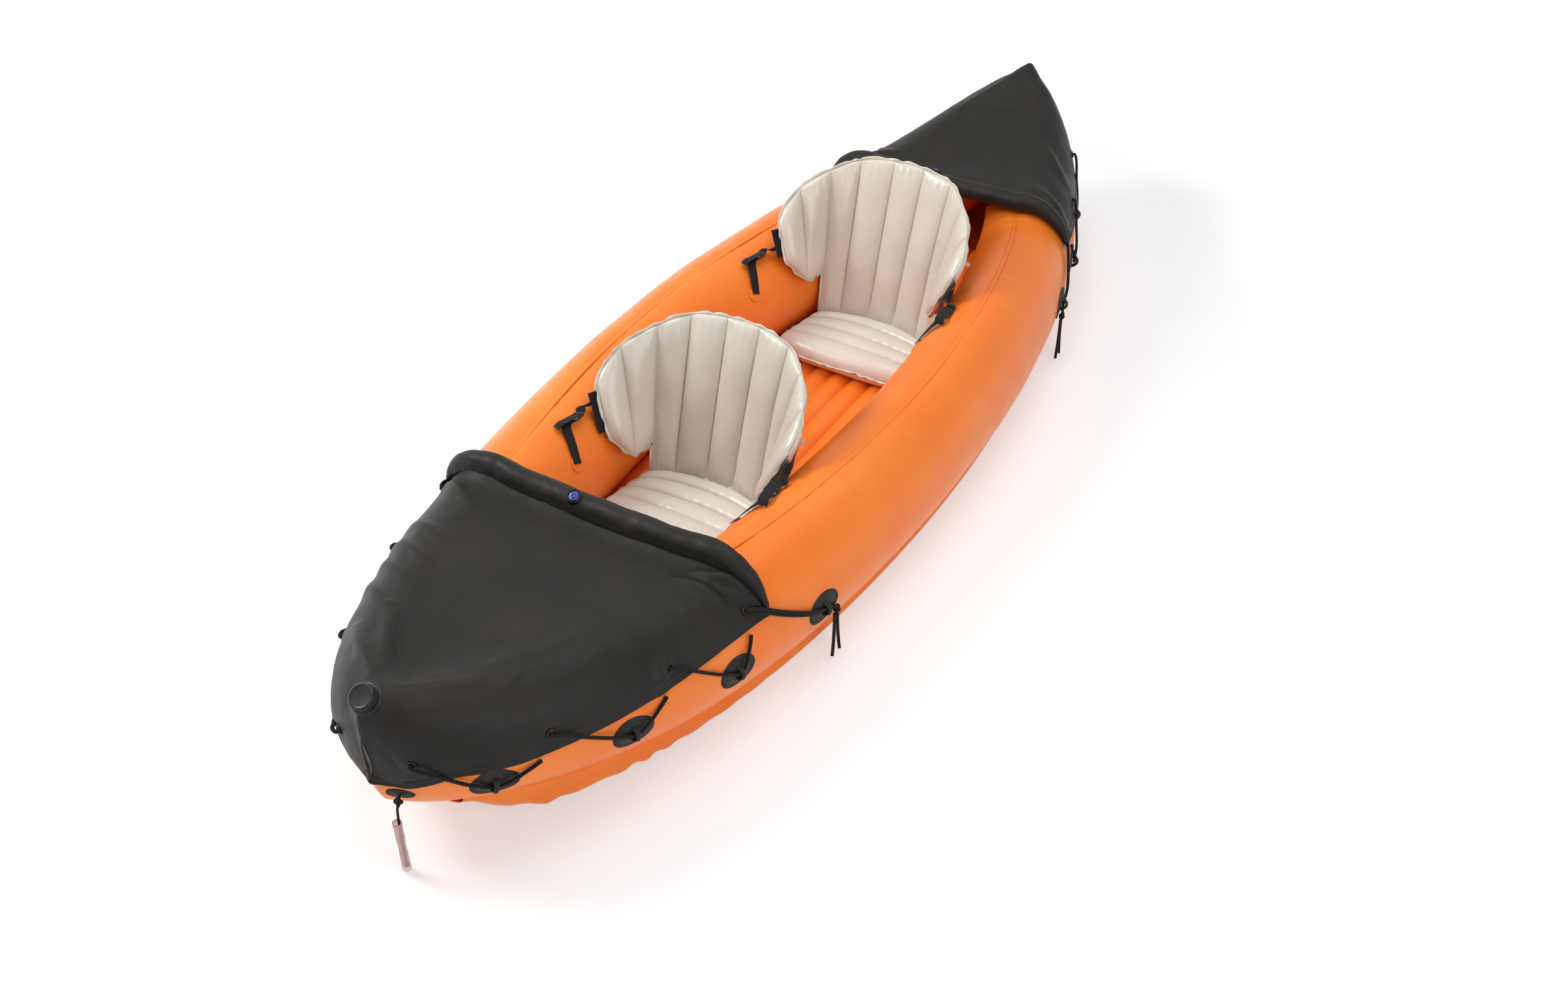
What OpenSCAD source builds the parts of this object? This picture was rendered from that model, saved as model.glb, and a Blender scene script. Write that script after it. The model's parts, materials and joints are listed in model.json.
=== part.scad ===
// Inflatable tandem kayak: two side chambers, an I-beam floor, two laced spray covers and two seats.
// Millimetres. Bow towards -Y, port towards +X, +Z up, standing on Z = 0.

/* [Hull] */
// Length of the side chambers over both noses
hull_len = 3160; // [2900:10:3400]
// Beam over both side chambers
beam = 1070; // [1020:10:1120]
// Width of one side chamber
chamber_w = 296; // [280:2:310]
// Height of one side chamber at midships
chamber_h = 350; // [330:2:370]
// Height that a side chamber loses by its ends
end_drop = 50; // [30:5:70]
// Length of the flat bottom at midships
flat_len = 1100; // [900:20:1300]
// Rise of the bottom at the bow
bow_rise = 140; // [110:5:165]
// Rise of the bottom at the stern
stern_rise = 250; // [220:5:270]
// Power of the stern's rise: a larger one keeps the rise nearer to the tip
stern_power = 3.5; // [3:0.1:4]
// Sharpness of the stern's plan, where 1 is an ellipse
stern_point = 1.06; // [1:0.01:1.1]
// Width of the welded seam tape on each chamber's crest
seam_w = 14; // [8:1:20]
// Thickness of the seam tape
seam_t = 1.2; // [0.8:0.1:2]

/* [Floor] */
// Thickness of the bottom panel
panel_t = 3; // [2:0.5:5]
// Distance of the panel's edge inside the hull's side
panel_inset = 75; // [65:5:100]
// Height of the floor's ridges above the panel
floor_h = 62; // [50:2:76]
// Depth of the grooves between the ridges
ridge_h = 14; // [8:1:18]
// Number of ridges across the floor
ridges = 9; // [7:1:11]
// Length of the floor chamber
floor_len = 2300; // [2000:20:2400]

/* [Covers] */
// Distance of the bow cover's cockpit edge from midships
bow_edge = 800; // [760:5:840]
// Distance of the stern cover's cockpit edge from midships
stern_edge = 985; // [960:5:1020]
// Thickness of the cover's vinyl
cover_t = 2; // [1.5:0.25:3]
// Height of the hem above the chamber's middle, at the cockpit edge
hem_up = 82; // [70:2:94]
// Distance that the hem falls from the cockpit edge to the nose
hem_fall = 108; // [96:2:120]
// Radius of the coaming roll at its middle
coaming_r = 27; // [22:1:32]
// Sag of the deck between the side chambers
deck_sag = 8; // [2:1:16]
// Radius of the hole in an eyelet
eyelet_r = 6; // [5.5:0.25:6.5]

/* [Lacing] */
// Diameter of the lacing cord
cord_d = 9; // [8:0.5:10]
// Length of a patch along the hull
patch_len = 104; // [92:2:116]
// Height of a patch
patch_h = 88; // [76:2:96]
// Radius of a patch's loop, to the middle of its bar
loop_r = 16; // [15:0.5:18]
// Radius of the loop's bar
loop_bar = 4.5; // [3.5:0.25:5]

/* [Seats] */
// Hinge line of the front seat
front_seat_y = -300; // [-330:5:-270]
// Hinge line of the rear seat
rear_seat_y = 580; // [550:5:610]
// Depth of a seat base from the hinge line
base_d = 262; // [240:2:290]
// Distance of a seat base's side from the cockpit wall, at the hinge line
base_side = 49; // [40:1:60]
// Half thickness of the seat base's front tube
base_r = 38; // [32:1:44]
// Height of the front backrest at its middle
front_back_h = 420; // [400:5:450]
// Height of the rear backrest at its middle
rear_back_h = 450; // [410:5:470]
// Width of a backrest over both wings
back_w = 620; // [604:2:632]
// Half thickness of a backrest tube
back_r = 24; // [18:1:28]
// Lean of a backrest, in millimetres back for each millimetre up
back_lean = 0.33; // [0.2:0.01:0.4]
// Height of the front wings' notch above the hinge line
front_wing_z = 82; // [76:1:92]
// Height of the rear wings' notch above the hinge line
rear_wing_z = 125; // [120:1:135]

/* [Straps] */
// Width of the webbing
web_w = 25; // [20:1:30]
// Thickness of the webbing
web_t = 1.6; // [1.2:0.1:2.2]
// Thickness of a buckle
buckle_t = 5; // [4:0.5:7]

/* [Valves] */
// Radius of a screw valve's flange
valve_flange_r = 34; // [31:1:37]
// Radius of a screw valve's neck
valve_neck_r = 25; // [23:1:27]
// Radius of a screw valve's bore
valve_bore_r = 16; // [14:0.5:18]
// Height of a screw valve's cap
valve_cap_h = 13; // [10:1:18]
// Forward tilt of the nose valve
nose_valve_tilt = 35; // [20:1:45]

/* [Hidden] */

// Colours
orange = "#F07C32";
charcoal = "#3A3835";
black_rubber = "#1B1A19";
warm_grey = "#CFC9BD";
clear_pvc = "#D9C6C4";
valve_blue = "#6C78B8";

// Clearances
seat_gap = 0.4;
nose_gap = 1;
tape_gap = 1;
patch_gap = 0.8;
cover_gap = 3.5;
hull_gap = 0.9;
coaming_gap = 0.6;
floor_gap = 2.4;
valve_gap = 1.2;
fit_gap = 0.3;

// Mesh steps
stations = 37;
ring_n = 29;
lon_end = 87;
side_steps = 10;
deck_steps = 3;
cover_rows = 24;
cover_lon_end = 88.3;
$fn = 48;

half_len = hull_len / 2;
chamber_r = chamber_w / 2;
cockpit_half = beam / 2 - chamber_w;
inner_limit = 176;
bridge_ang = 102;
nose_round = 20;
nose_crown = 5;
hem_power = 1.3;
sag_share = 0.62;

// Small vector helpers
function unit(v) = v / norm(v);
function mix(a, b, f) = a + (b - a) * f;
function mirror_x(p) = [-p[0], p[1], p[2]];
function side_pt(side, p) = [side * p[0], p[1], p[2]];
function clamp(v, low, high) = min(max(v, low), high);

// The hull's shape: lon runs along the hull from -90 at the bow to 90 at the stern, and ang runs
// round a side chamber's section from 0 on the outside, over 90 at the crest, to 180 on the inside.
function keel_z(y) =
    let (past = max(0, abs(y) - flat_len / 2) / (half_len - flat_len / 2))
    y < 0 ? bow_rise * pow(past, 2) : stern_rise * pow(past, stern_power);
function half_h(lon) = (chamber_h - end_drop * pow(abs(sin(lon)), 3)) / 2;
function mid_z(lon) = panel_t + hull_gap + keel_z(half_len * sin(lon)) + half_h(lon);
function plan_form(lon) = pow(cos(lon), lon > 0 ? stern_point : 1);
function mid_x(lon, off = 0) = (beam / 2 + off) * plan_form(lon) - (chamber_r + off);
function hull_pt(lon, ang, off = 0) = [
    mid_x(lon, off) + (chamber_r + off) * cos(ang),
    (half_len + off) * sin(lon),
    mid_z(lon) + (half_h(lon) + off) * sin(ang)];
function hull_normal(lon, ang) = let (
    along = hull_pt(lon + 0.5, ang) - hull_pt(lon - 0.5, ang),
    round = hull_pt(lon, ang + 0.5) - hull_pt(lon, ang - 0.5)) unit(cross(along, round));
function above_hull(lon, ang, off) = hull_pt(lon, ang) + off * hull_normal(lon, ang);
function lon_at(y) = asin(clamp(y / half_len, -1, 1));
function inner_ang(lon, off = 0) = let (
    share = (nose_gap / 2 - mid_x(lon, off)) / (chamber_r + off))
    acos(clamp(share, cos(inner_limit), 1));
function half_beam(y) = beam / 2 * plan_form(lon_at(y));

// Meshes made of closed rings, with a flat face at each end
function ring_faces(rings, n) = concat(
    [for (i = [0 : rings - 2], k = [0 : n - 1])
        let (a = i * n + k, b = i * n + (k + 1) % n)
        each [[a, b, b + n], [a, b + n, a + n]]],
    [[for (k = [n - 1 : -1 : 0]) k]],
    [[for (k = [0 : n - 1]) (rings - 1) * n + k]]);

module ring_solid(rings, flip = false) {
    points = [for (ring = rings) each ring];
    faces = ring_faces(len(rings), len(rings[0]));
    polyhedron(points, flip ? [for (f = faces) [for (k = [len(f) - 1 : -1 : 0]) f[k]]] : faces);
}

// Meshes made of two like grids of points, joined round their edge
function quad(a, b, c, d) = [[a, b, c], [a, c, d]];
function grid_faces(rows, cols, closed_end = false) = let (m = rows * cols, e = (rows - 1) * cols,
    w = cols - 1) concat(
    [for (i = [0 : rows - 2], j = [0 : cols - 2]) let (a = i * cols + j)
        each quad(a, a + 1, a + cols + 1, a + cols)],
    [for (i = [0 : rows - 2], j = [0 : cols - 2]) let (a = m + i * cols + j)
        each quad(a, a + cols, a + cols + 1, a + 1)],
    [for (j = [0 : cols - 2]) each quad(j, m + j, m + j + 1, j + 1)],
    [for (i = [0 : rows - 2]) let (a = i * cols) each quad(a, a + cols, m + a + cols, m + a)],
    [for (i = [0 : rows - 2]) let (a = i * cols + w) each quad(a, m + a, m + a + cols, a + cols)],
    closed_end ? concat(
        [for (j = [0 : w / 2 - 2])
            each quad(e + j, e + j + 1, e + w - j - 1, e + w - j)],
        [[e + w / 2 - 1, e + w / 2, e + w / 2 + 1]],
        [for (j = [0 : w / 2 - 2])
            each quad(m + e + j, m + e + w - j, m + e + w - j - 1, m + e + j + 1)],
        [[m + e + w / 2 - 1, m + e + w / 2 + 1, m + e + w / 2]],
        quad(e, e + w, m + e + w, m + e))
    : [for (j = [0 : cols - 2]) let (a = e + j) each quad(a, a + 1, m + a + 1, m + a)]);

module grid_solid(top, under, closed_end = false, flip = false) {
    points = concat([for (row = top) each row], [for (row = under) each row]);
    faces = grid_faces(len(top), len(top[0]), closed_end);
    polyhedron(points, flip ? [for (f = faces) [f[2], f[1], f[0]]] : faces);
}

// A round or flat bar swept along a list of points; ref sets how it is turned
function tangent(path, i) =
    unit(path[min(i + 1, len(path) - 1)] - path[max(i - 1, 0)]);
function sweep_ring(path, i, ref, outline) = let (
    t = tangent(path, i),
    u = unit(cross(t, ref)),
    v = cross(u, t))
    [for (q = outline) path[i] + u * q[0] + v * q[1]];
function circle_pts(r, n) = [for (k = [0 : n - 1]) r * [cos(360 * k / n), sin(360 * k / n)]];
function band_pts(w, t) = [[-w / 2, -t / 2], [w / 2, -t / 2], [w / 2, t / 2], [-w / 2, t / 2]];

module swept(path, ref, outline) {
    ring_solid([for (i = [0 : len(path) - 1]) sweep_ring(path, i, ref, outline)]);
}

// A smooth run of points through the given ones
function through(p, steps) = let (n = len(p)) concat(
    [for (i = [0 : n - 2], k = [0 : steps - 1]) let (
        f = k / steps,
        a = p[max(i - 1, 0)], b = p[i], c = p[i + 1], d = p[min(i + 2, n - 1)])
        0.5 * ((2 * b) + (c - a) * f + (2 * a - 5 * b + 4 * c - d) * f * f
        + (3 * b - a - 3 * c + d) * f * f * f)],
    [p[n - 1]]);

// Turns a solid that stands on +Z to stand on the direction n at the point p
module stand(p, n) {
    translate(p) rotate([0, acos(n[2]), atan2(n[1], n[0])]) children();
}

// Side chambers
module side_chamber(side) {
    rings = [for (i = [0 : stations - 1])
        let (lon = mix(-lon_end, lon_end, i / (stations - 1)), limit = inner_ang(lon))
        [for (k = [0 : ring_n - 1])
            side_pt(side, hull_pt(lon, limit * (2 * k / (ring_n - 1) - 1)))]];
    color(orange) ring_solid(rings, flip = side < 0);
}
module port_side_chamber() { side_chamber(1); }
module starboard_side_chamber() { side_chamber(-1); }

seam_ang = 86;
seam_turn = 43;
seam_clear = 24;
module seam_tape(side) {
    first = lon_at(-bow_edge + seam_clear + coaming_r);
    last = lon_at(stern_edge - seam_clear - coaming_r);
    half_ang = asin(seam_w / 2 / chamber_r);
    rows = [for (i = [0 : stations - 1]) mix(first, last, i / (stations - 1))];
    function seam_row(lon, off) = let (mid = seam_ang + seam_turn * pow(sin(lon), 2))
        [for (d = [-half_ang, 0, half_ang]) side_pt(side, hull_pt(lon, mid + d, off))];
    color(orange) grid_solid([for (lon = rows) seam_row(lon, tape_gap + seam_t)],
        [for (lon = rows) seam_row(lon, tape_gap)], flip = side < 0);
}
module port_seam_tape() { seam_tape(1); }
module starboard_seam_tape() { seam_tape(-1); }

// Floor: an I-beam mat with ridges along it, between the chambers' inner walls
floor_stations = 13;
ridge_steps = 4;
floor_edge_h = floor_h - ridge_h;
function floor_half(y) = let (lon = lon_at(y), b = half_h(lon),
    rise = clamp((floor_edge_h - b) / b, -1, 0))
    mid_x(lon) - chamber_r * sqrt(1 - rise * rise) - floor_gap;
function floor_z(y) = panel_t + seat_gap + keel_z(y);
// The top runs across the ridges, and the underside has a point below each groove
function floor_ring(y) = let (w = floor_half(y), z = floor_z(y), n = ridges * ridge_steps) concat(
    [for (k = [0 : n]) [mix(w, -w, k / n), y, z + floor_edge_h + ridge_h * abs(sin(180 * k / ridge_steps))]],
    [for (k = [ridges : -1 : 0]) [mix(w, -w, k / ridges), y, z]]);
module floor_chamber() {
    n = ridges * ridge_steps + ridges + 2;
    last = (floor_stations - 1) * n;
    points = [for (i = [0 : floor_stations - 1])
        each floor_ring(mix(-floor_len / 2, floor_len / 2, i / (floor_stations - 1)))];
    end_face = [for (r = [0 : ridges - 1], k = [0 : ridge_steps]) let (a = n - 1 - r, b = r * ridge_steps + k)
        k < ridge_steps ? [a, b, b + 1] : [a, b, a - 1]];
    sides = [for (i = [0 : floor_stations - 2], k = [0 : n - 1]) let (a = i * n + k, b = i * n + (k + 1) % n)
        each [[a, b, b + n], [a, b + n, a + n]]];
    color(orange) polyhedron(points, concat(sides,
        [for (f = end_face) [f[2], f[1], f[0]]],
        [for (f = end_face) [f[0] + last, f[1] + last, f[2] + last]]));
}

// Bottom panel: a skin under the floor and the chambers, slack below the rising ends
panel_len = hull_len - 200;
panel_rows = 25;
function panel_z(y) = sag_share * keel_z(y);
module bottom_panel() {
    ys = [for (i = [0 : panel_rows - 1]) panel_len / 2 * sin(mix(-90, 90, i / (panel_rows - 1)))];
    function panel_row(y, z) = let (w = half_beam(y) - panel_inset)
        [for (f = [-1, 0, 1]) [f * w, y, panel_z(y) + z]];
    color(orange) grid_solid([for (y = ys) panel_row(y, panel_t)], [for (y = ys) panel_row(y, 0)],
        flip = true);
}

// Covers: vinyl skins over both noses, from hem to hem. dir is -1 at the bow and 1 at the stern.
function edge_of(dir) = dir < 0 ? bow_edge : stern_edge;
function edge_lon(dir) = lon_at(edge_of(dir));
function along_cover(dir, share) = dir * lon_at(mix(edge_of(dir), half_len, share));
function cover_share(dir, lon) =
    clamp((half_len * abs(sin(lon)) - edge_of(dir)) / (half_len - edge_of(dir)), 0, 1);
function hem_ang(dir, lon, off = 0) =
    asin(clamp((hem_up - hem_fall * pow(cover_share(dir, lon), hem_power)) / (half_h(lon) + off), -0.7, 0.8));
function top_ang(lon, off) = min(bridge_ang, inner_ang(lon, off) - nose_round);
// The deck between the chambers, at the distance x from the middle
function deck_rise(lon, off) = max(-deck_sag,
    hull_pt(lon, inner_ang(lon, off), off)[2] - hull_pt(lon, top_ang(lon, off), off)[2] + nose_crown);
function deck_pt(lon, off, share) = let (
    start = hull_pt(lon, top_ang(lon, off), off))
    [start[0] * share, start[1], start[2] + deck_rise(lon, off) * (1 - share * share)];
function cover_half(dir, lon, off) = concat(
    [for (k = [0 : side_steps])
        hull_pt(lon, mix(hem_ang(dir, lon, off), top_ang(lon, off), k / side_steps), off)],
    [for (k = [1 : deck_steps]) deck_pt(lon, off, 1 - k / deck_steps)]);
function cover_row(dir, lon, off) = let (port = cover_half(dir, lon, off), n = len(port))
    concat(port, [for (k = [n - 2 : -1 : 0]) mirror_x(port[k])]);
function cover_lons(dir) =
    [for (i = [0 : cover_rows - 1]) dir * mix(edge_lon(dir), cover_lon_end, i / (cover_rows - 1))];

eyelet_shares = [0.06, 0.354, 0.704, 0.97];
eyelet_rise = 40;
eyelet_wall = 2;
eyelet_flange = 5;
eyelet_flange_t = 1.6;
hole_sides = 10;
function eyelet_lon(dir, i) = along_cover(dir, eyelet_shares[i]);
function eyelet_ang(dir, i) = let (lon = eyelet_lon(dir, i))
    hem_ang(dir, lon) + asin(eyelet_rise / half_h(lon));

module cover(dir) {
    lons = cover_lons(dir);
    color(charcoal) difference() {
        grid_solid([for (lon = lons) cover_row(dir, lon, cover_gap + cover_t)],
            [for (lon = lons) cover_row(dir, lon, cover_gap)], closed_end = true, flip = dir < 0);
        for (side = [-1, 1], i = [0 : len(eyelet_shares) - 1])
            at_eyelet(dir, side, i, cover_gap)
                cylinder(r = (eyelet_r + eyelet_wall + fit_gap) / cos(180 / hole_sides), h = 6 * cover_t,
                    center = true, $fn = hole_sides);
    }
}
module bow_cover() { cover(-1); }
module stern_cover() { cover(1); }

// Puts a solid on the hull's surface, at the height off above it, with +Z outwards
module on_hull(side, lon, ang, off) {
    stand(side_pt(side, above_hull(lon, ang, off)),
        side_pt(side, hull_normal(lon, ang))) children();
}
module at_eyelet(dir, side, i, off) {
    on_hull(side, eyelet_lon(dir, i), eyelet_ang(dir, i), off) children();
}

module eyelet() {
    top = cover_t + fit_gap;
    difference() {
        union() {
            cylinder(r = eyelet_r + eyelet_wall, h = top + eyelet_flange_t);
            translate([0, 0, top]) cylinder(r = eyelet_r + eyelet_flange, h = eyelet_flange_t);
        }
        cylinder(r = eyelet_r, h = 4 * top, center = true);
    }
}
module eyelets(dir) {
    color(black_rubber)
        for (side = [-1, 1], i = [0 : len(eyelet_shares) - 1]) at_eyelet(dir, side, i, cover_gap) eyelet();
}
module bow_eyelets() { eyelets(-1); }
module stern_eyelets() { eyelets(1); }

// Coaming: an inflated roll on the cockpit edge of each cover, slimmer at its ends
coaming_sides = 12;
coaming_end_r = 14;
coaming_end_rise = 12;
coaming_side_steps = 8;
coaming_deck_steps = 5;
function coaming_radius(f) = mix(coaming_end_r, coaming_r, pow(sin(90 * f), 0.8));
function coaming_half(dir) = let (lon = dir * edge_lon(dir), low = hem_ang(dir, lon) + coaming_end_rise,
    skin = cover_gap + cover_t, n = hull_normal(lon, bridge_ang)) concat(
    [for (k = [0 : coaming_side_steps])
        let (f = k / coaming_side_steps, r = coaming_radius(f),
            p = above_hull(lon, mix(low, bridge_ang, f), skin + coaming_gap + r))
        [p[0], p[1], p[2], r]],
    [for (k = [1 : coaming_deck_steps])
        let (share = 1 - k / coaming_deck_steps,
            p = deck_pt(lon, skin, share) + (coaming_gap + coaming_r) * unit([n[0] * share, n[1], n[2]]))
        [p[0], p[1], p[2], coaming_r]]);
function coaming_path(dir) = let (port = coaming_half(dir), n = len(port))
    concat(port, [for (k = [n - 2 : -1 : 0]) [-port[k][0], port[k][1], port[k][2], port[k][3]]]);
module coaming(dir) {
    path = coaming_path(dir);
    line = [for (p = path) [p[0], p[1], p[2]]];
    color(charcoal) ring_solid([for (i = [0 : len(path) - 1])
        sweep_ring(line, i, [0, 1, 0], circle_pts(path[i][3], coaming_sides))]);
}
module bow_coaming() { coaming(-1); }
module stern_coaming() { coaming(1); }

// Patches: oval pads on the chambers' outer sides, each with a loop for the lacing
patch_shares = [-0.223, 0.143, 0.495, 0.839];
patch_ang = -3;
patch_ang_fall = 24;
patch_sides = 10;
patch_rim_t = 1.6;
patch_mid_t = 4;
patch_ring = 0.6;
loop_foot = 6;
function patch_lon(dir, i) = along_cover(dir, patch_shares[i]);
function patch_mid_ang(i) = patch_ang - patch_ang_fall * pow(max(0, patch_shares[i]), 2);
function patch_pt(lon, ang, share, k, off, len_half, high_half) = let (
    a = 360 * k / patch_sides,
    step = norm(hull_pt(lon + 0.5, ang) - hull_pt(lon - 0.5, ang)),
    round = norm(hull_pt(lon, ang + 0.5) - hull_pt(lon, ang - 0.5)))
    hull_pt(lon + share * len_half * cos(a) / step, ang + share * high_half * sin(a) / round, off);
// One pad: rings from the middle of its underside, round its rim, to the middle of its top
module pad(side, lon, ang, len_half, high_half) {
    rows = [[0.06, patch_gap], [patch_ring, patch_gap], [1, patch_gap], [1, patch_gap + patch_rim_t],
        [patch_ring, patch_gap + patch_mid_t], [0.06, patch_gap + patch_mid_t]];
    ring_solid([for (row = rows) [for (k = [0 : patch_sides - 1])
        side_pt(side, patch_pt(lon, ang, row[0], k, row[1], len_half, high_half))]], flip = side > 0);
}
module patch_loop(side, lon, ang) {
    on_hull(side, lon, ang, patch_gap + patch_mid_t) rotate([90, 0, 0]) {
        rotate_extrude(angle = 180) translate([loop_r, 0]) circle(loop_bar);
        for (x = [-loop_r, loop_r]) translate([x, 0, 0]) rotate([90, 0, 0]) cylinder(r = loop_bar, h = 2);
    }
}
module patches(dir, side) {
    color(black_rubber) for (i = [0 : len(patch_shares) - 1]) union() {
        pad(side, patch_lon(dir, i), patch_mid_ang(i), patch_len / 2, patch_h / 2);
        patch_loop(side, patch_lon(dir, i), patch_mid_ang(i));
    }
}
module port_bow_patches() { patches(-1, 1); }
module starboard_bow_patches() { patches(-1, -1); }
module port_stern_patches() { patches(1, 1); }
module starboard_stern_patches() { patches(1, -1); }

// Lacing: from each eyelet down through a loop, and up again to the hem by the next eyelet
cord_sides = 8;
cord_r = cord_d / 2;
lace_loop = patch_gap + patch_mid_t + cord_r + seat_gap;
lace_skin = cover_gap + cover_t + eyelet_flange_t + fit_gap + cord_r + 1;
lace_low = cord_r + 2;
lace_pad = patch_gap + patch_mid_t + cord_r + 1.4;
lace_rest_ang = 5;
// The lace lies on the lower rim of its eyelet
function lace_sink(lon) = asin((eyelet_r - cord_r - fit_gap) / half_h(lon));
function lace_end(dir, i) = let (lon = mix(patch_lon(dir, i), eyelet_lon(dir, i - 1), 0.75))
    [lon, hem_ang(dir, lon) - lace_rest_ang];
function lace_out(dir, i) = let (lon = eyelet_lon(dir, i), ang = eyelet_ang(dir, i),
    to = patch_lon(dir, i), down = patch_mid_ang(i)) [
    [lon, ang - lace_sink(lon), cover_gap + cover_t / 2],
    [lon, ang - lace_sink(lon), lace_skin + 1],
    [mix(lon, to, 0.15), mix(ang, down, 0.12), lace_skin + 2],
    [mix(lon, to, 0.4), mix(ang, down, 0.42), lace_low + 3],
    [mix(lon, to, 0.72), mix(ang, down, 0.76), lace_pad],
    [to, down, lace_loop]];
function lace_back(dir, i) = let (from = patch_lon(dir, i), down = patch_mid_ang(i), end = lace_end(dir, i)) [
    [mix(from, end[0], 0.35), mix(down, end[1], 0.3), lace_pad],
    [mix(from, end[0], 0.8), mix(down, end[1], 0.75), lace_low],
    [end[0], end[1], lace_low]];
// The lace at the cockpit end runs on to a knot that hangs beside its loop
knot_r = 2 * cord_r;
knot_steps = 4;
knot_fore = 1.3;
knot_top = 3;
knot_fall = 10;
knot_off = patch_gap + patch_mid_t + knot_r + seat_gap;
function lace_knot(dir) = let (from = patch_lon(dir, 0), down = patch_mid_ang(0)) [
    for (k = [0 : knot_steps - 1]) let (f = k / (knot_steps - 1))
        [from - dir * knot_fore, down - mix(knot_top, knot_fall, f), knot_off]];
function lace_radius(stop, knot_at) = stop < knot_at ? cord_r
    : mix(cord_r, knot_r, sin(150 * (stop - knot_at + 0.5) / knot_steps));
module lacing(dir, side) {
    color(black_rubber) for (i = [0 : len(patch_shares) - 1]) {
        stops = concat(lace_out(dir, i), i > 0 ? lace_back(dir, i) : lace_knot(dir));
        knot_at = i > 0 ? len(stops) : len(stops) - knot_steps;
        path = [for (s = stops) side_pt(side, above_hull(s[0], s[1], s[2]))];
        ring_solid([for (k = [0 : len(path) - 1])
            sweep_ring(path, k, [0, 0.02, 1], circle_pts(lace_radius(k, knot_at), cord_sides))]);
    }
}
module port_bow_lacing() { lacing(-1, 1); }
module starboard_bow_lacing() { lacing(-1, -1); }
module port_stern_lacing() { lacing(1, 1); }
module starboard_stern_lacing() { lacing(1, -1); }

// Two free ends hang side by side from each port knot, straight down beside the chamber
tail_len = 125;
tail_out = 2;
tail_gap = 0.4;
tail_start = 0.4;
tail_apart = 22;
tail_steps = 5;
module lace_tails(dir) {
    from = patch_lon(dir, 0) - dir * knot_fore;
    top = patch_mid_ang(0) - knot_fall - tail_gap;
    color(black_rubber) for (way = [-0.5, 0.5]) {
        start = above_hull(from + way * tail_start, top, knot_off);
        path = [for (k = [0 : tail_steps]) let (f = k / tail_steps)
            start + [tail_out * f, way * tail_apart * f * f, -tail_len * f]];
        swept(path, [0, 1, 0], circle_pts(cord_r, cord_sides));
    }
}
module port_bow_lace_tails() { lace_tails(-1); }
module port_stern_lace_tails() { lace_tails(1); }

// Bow grab line: a pad under the nose, a cord that hangs from it and a clear sleeve on the cord
grab_lon = -82;
grab_ang = -35;
grab_len = 60;
grab_r = 3;
grab_h = 40;
grab_route = [[49.5, -1569.5, 202.5], [53, -1579, 199], [55, -1587, 184], [55, -1590, 160], [55, -1592, 120],
    [55, -1594, 70], [55, -1595, 14]];
sleeve_r = 10;
sleeve_wall = 1.2;
sleeve_top = 150;
sleeve_low = 8;
sleeve_lean = -1.1;
module bow_grab_patch() {
    color(black_rubber) pad(1, grab_lon, grab_ang, grab_len / 2, grab_h / 2);
}
module bow_grab_cord() {
    color(black_rubber) swept(through(grab_route, 2), [0, 1, 0], circle_pts(grab_r, cord_sides));
}
module bow_grab_sleeve() {
    foot = grab_route[len(grab_route) - 1];
    color(clear_pvc) translate([foot[0], foot[1] + sleeve_lean, sleeve_low]) difference() {
        cylinder(r = sleeve_r, h = sleeve_top - sleeve_low);
        cylinder(r = sleeve_r - sleeve_wall, h = 3 * sleeve_top, center = true);
    }
}

// Screw valves: a flanged neck with a bore, and a cap whose plug turns in the bore
valve_flange_t = 3;
valve_neck_h = 9;
valve_rim = 3;
cap_plug_h = 7;
module valve_base() {
    color(black_rubber) difference() {
        union() {
            cylinder(r = valve_flange_r, h = valve_flange_t);
            cylinder(r = valve_neck_r, h = valve_neck_h);
        }
        translate([0, 0, valve_flange_t / 2]) cylinder(r = valve_bore_r, h = valve_neck_h);
    }
}
module valve_cap() {
    color(black_rubber) {
        translate([0, 0, valve_neck_h + fit_gap]) cylinder(r = valve_neck_r + valve_rim, h = valve_cap_h);
        translate([0, 0, valve_neck_h - cap_plug_h + fit_gap])
            cylinder(r = valve_bore_r - fit_gap, h = cap_plug_h);
    }
}

nose_valve_lon = -79;
function nose_valve_dir() = [0, -sin(nose_valve_tilt), cos(nose_valve_tilt)];
function nose_valve_pt() = deck_pt(nose_valve_lon, cover_gap + cover_t, 0) + seat_gap * nose_valve_dir();
module nose_valve_base() { stand(nose_valve_pt(), nose_valve_dir()) valve_base(); }
module nose_valve_cap() { stand(nose_valve_pt(), nose_valve_dir()) valve_cap(); }

floor_valve_in = 320;
floor_valve_y = floor_len / 2 - floor_valve_in;
floor_valve_lift = 3.7;
function floor_valve_pt() = [0, floor_valve_y, floor_z(floor_valve_y) + floor_h + floor_valve_lift];
module floor_valve_base() { translate(floor_valve_pt()) valve_base(); }
module floor_valve_cap() { translate(floor_valve_pt()) valve_cap(); }

side_valve_lon = 46;
side_valve_ang = 150;
module port_valve_base() { on_hull(1, side_valve_lon, side_valve_ang, valve_gap) valve_base(); }
module port_valve_cap() { on_hull(1, side_valve_lon, side_valve_ang, valve_gap) valve_cap(); }
module starboard_valve_base() { on_hull(-1, side_valve_lon, side_valve_ang, valve_gap) valve_base(); }
module starboard_valve_cap() { on_hull(-1, side_valve_lon, side_valve_ang, valve_gap) valve_cap(); }

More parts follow.
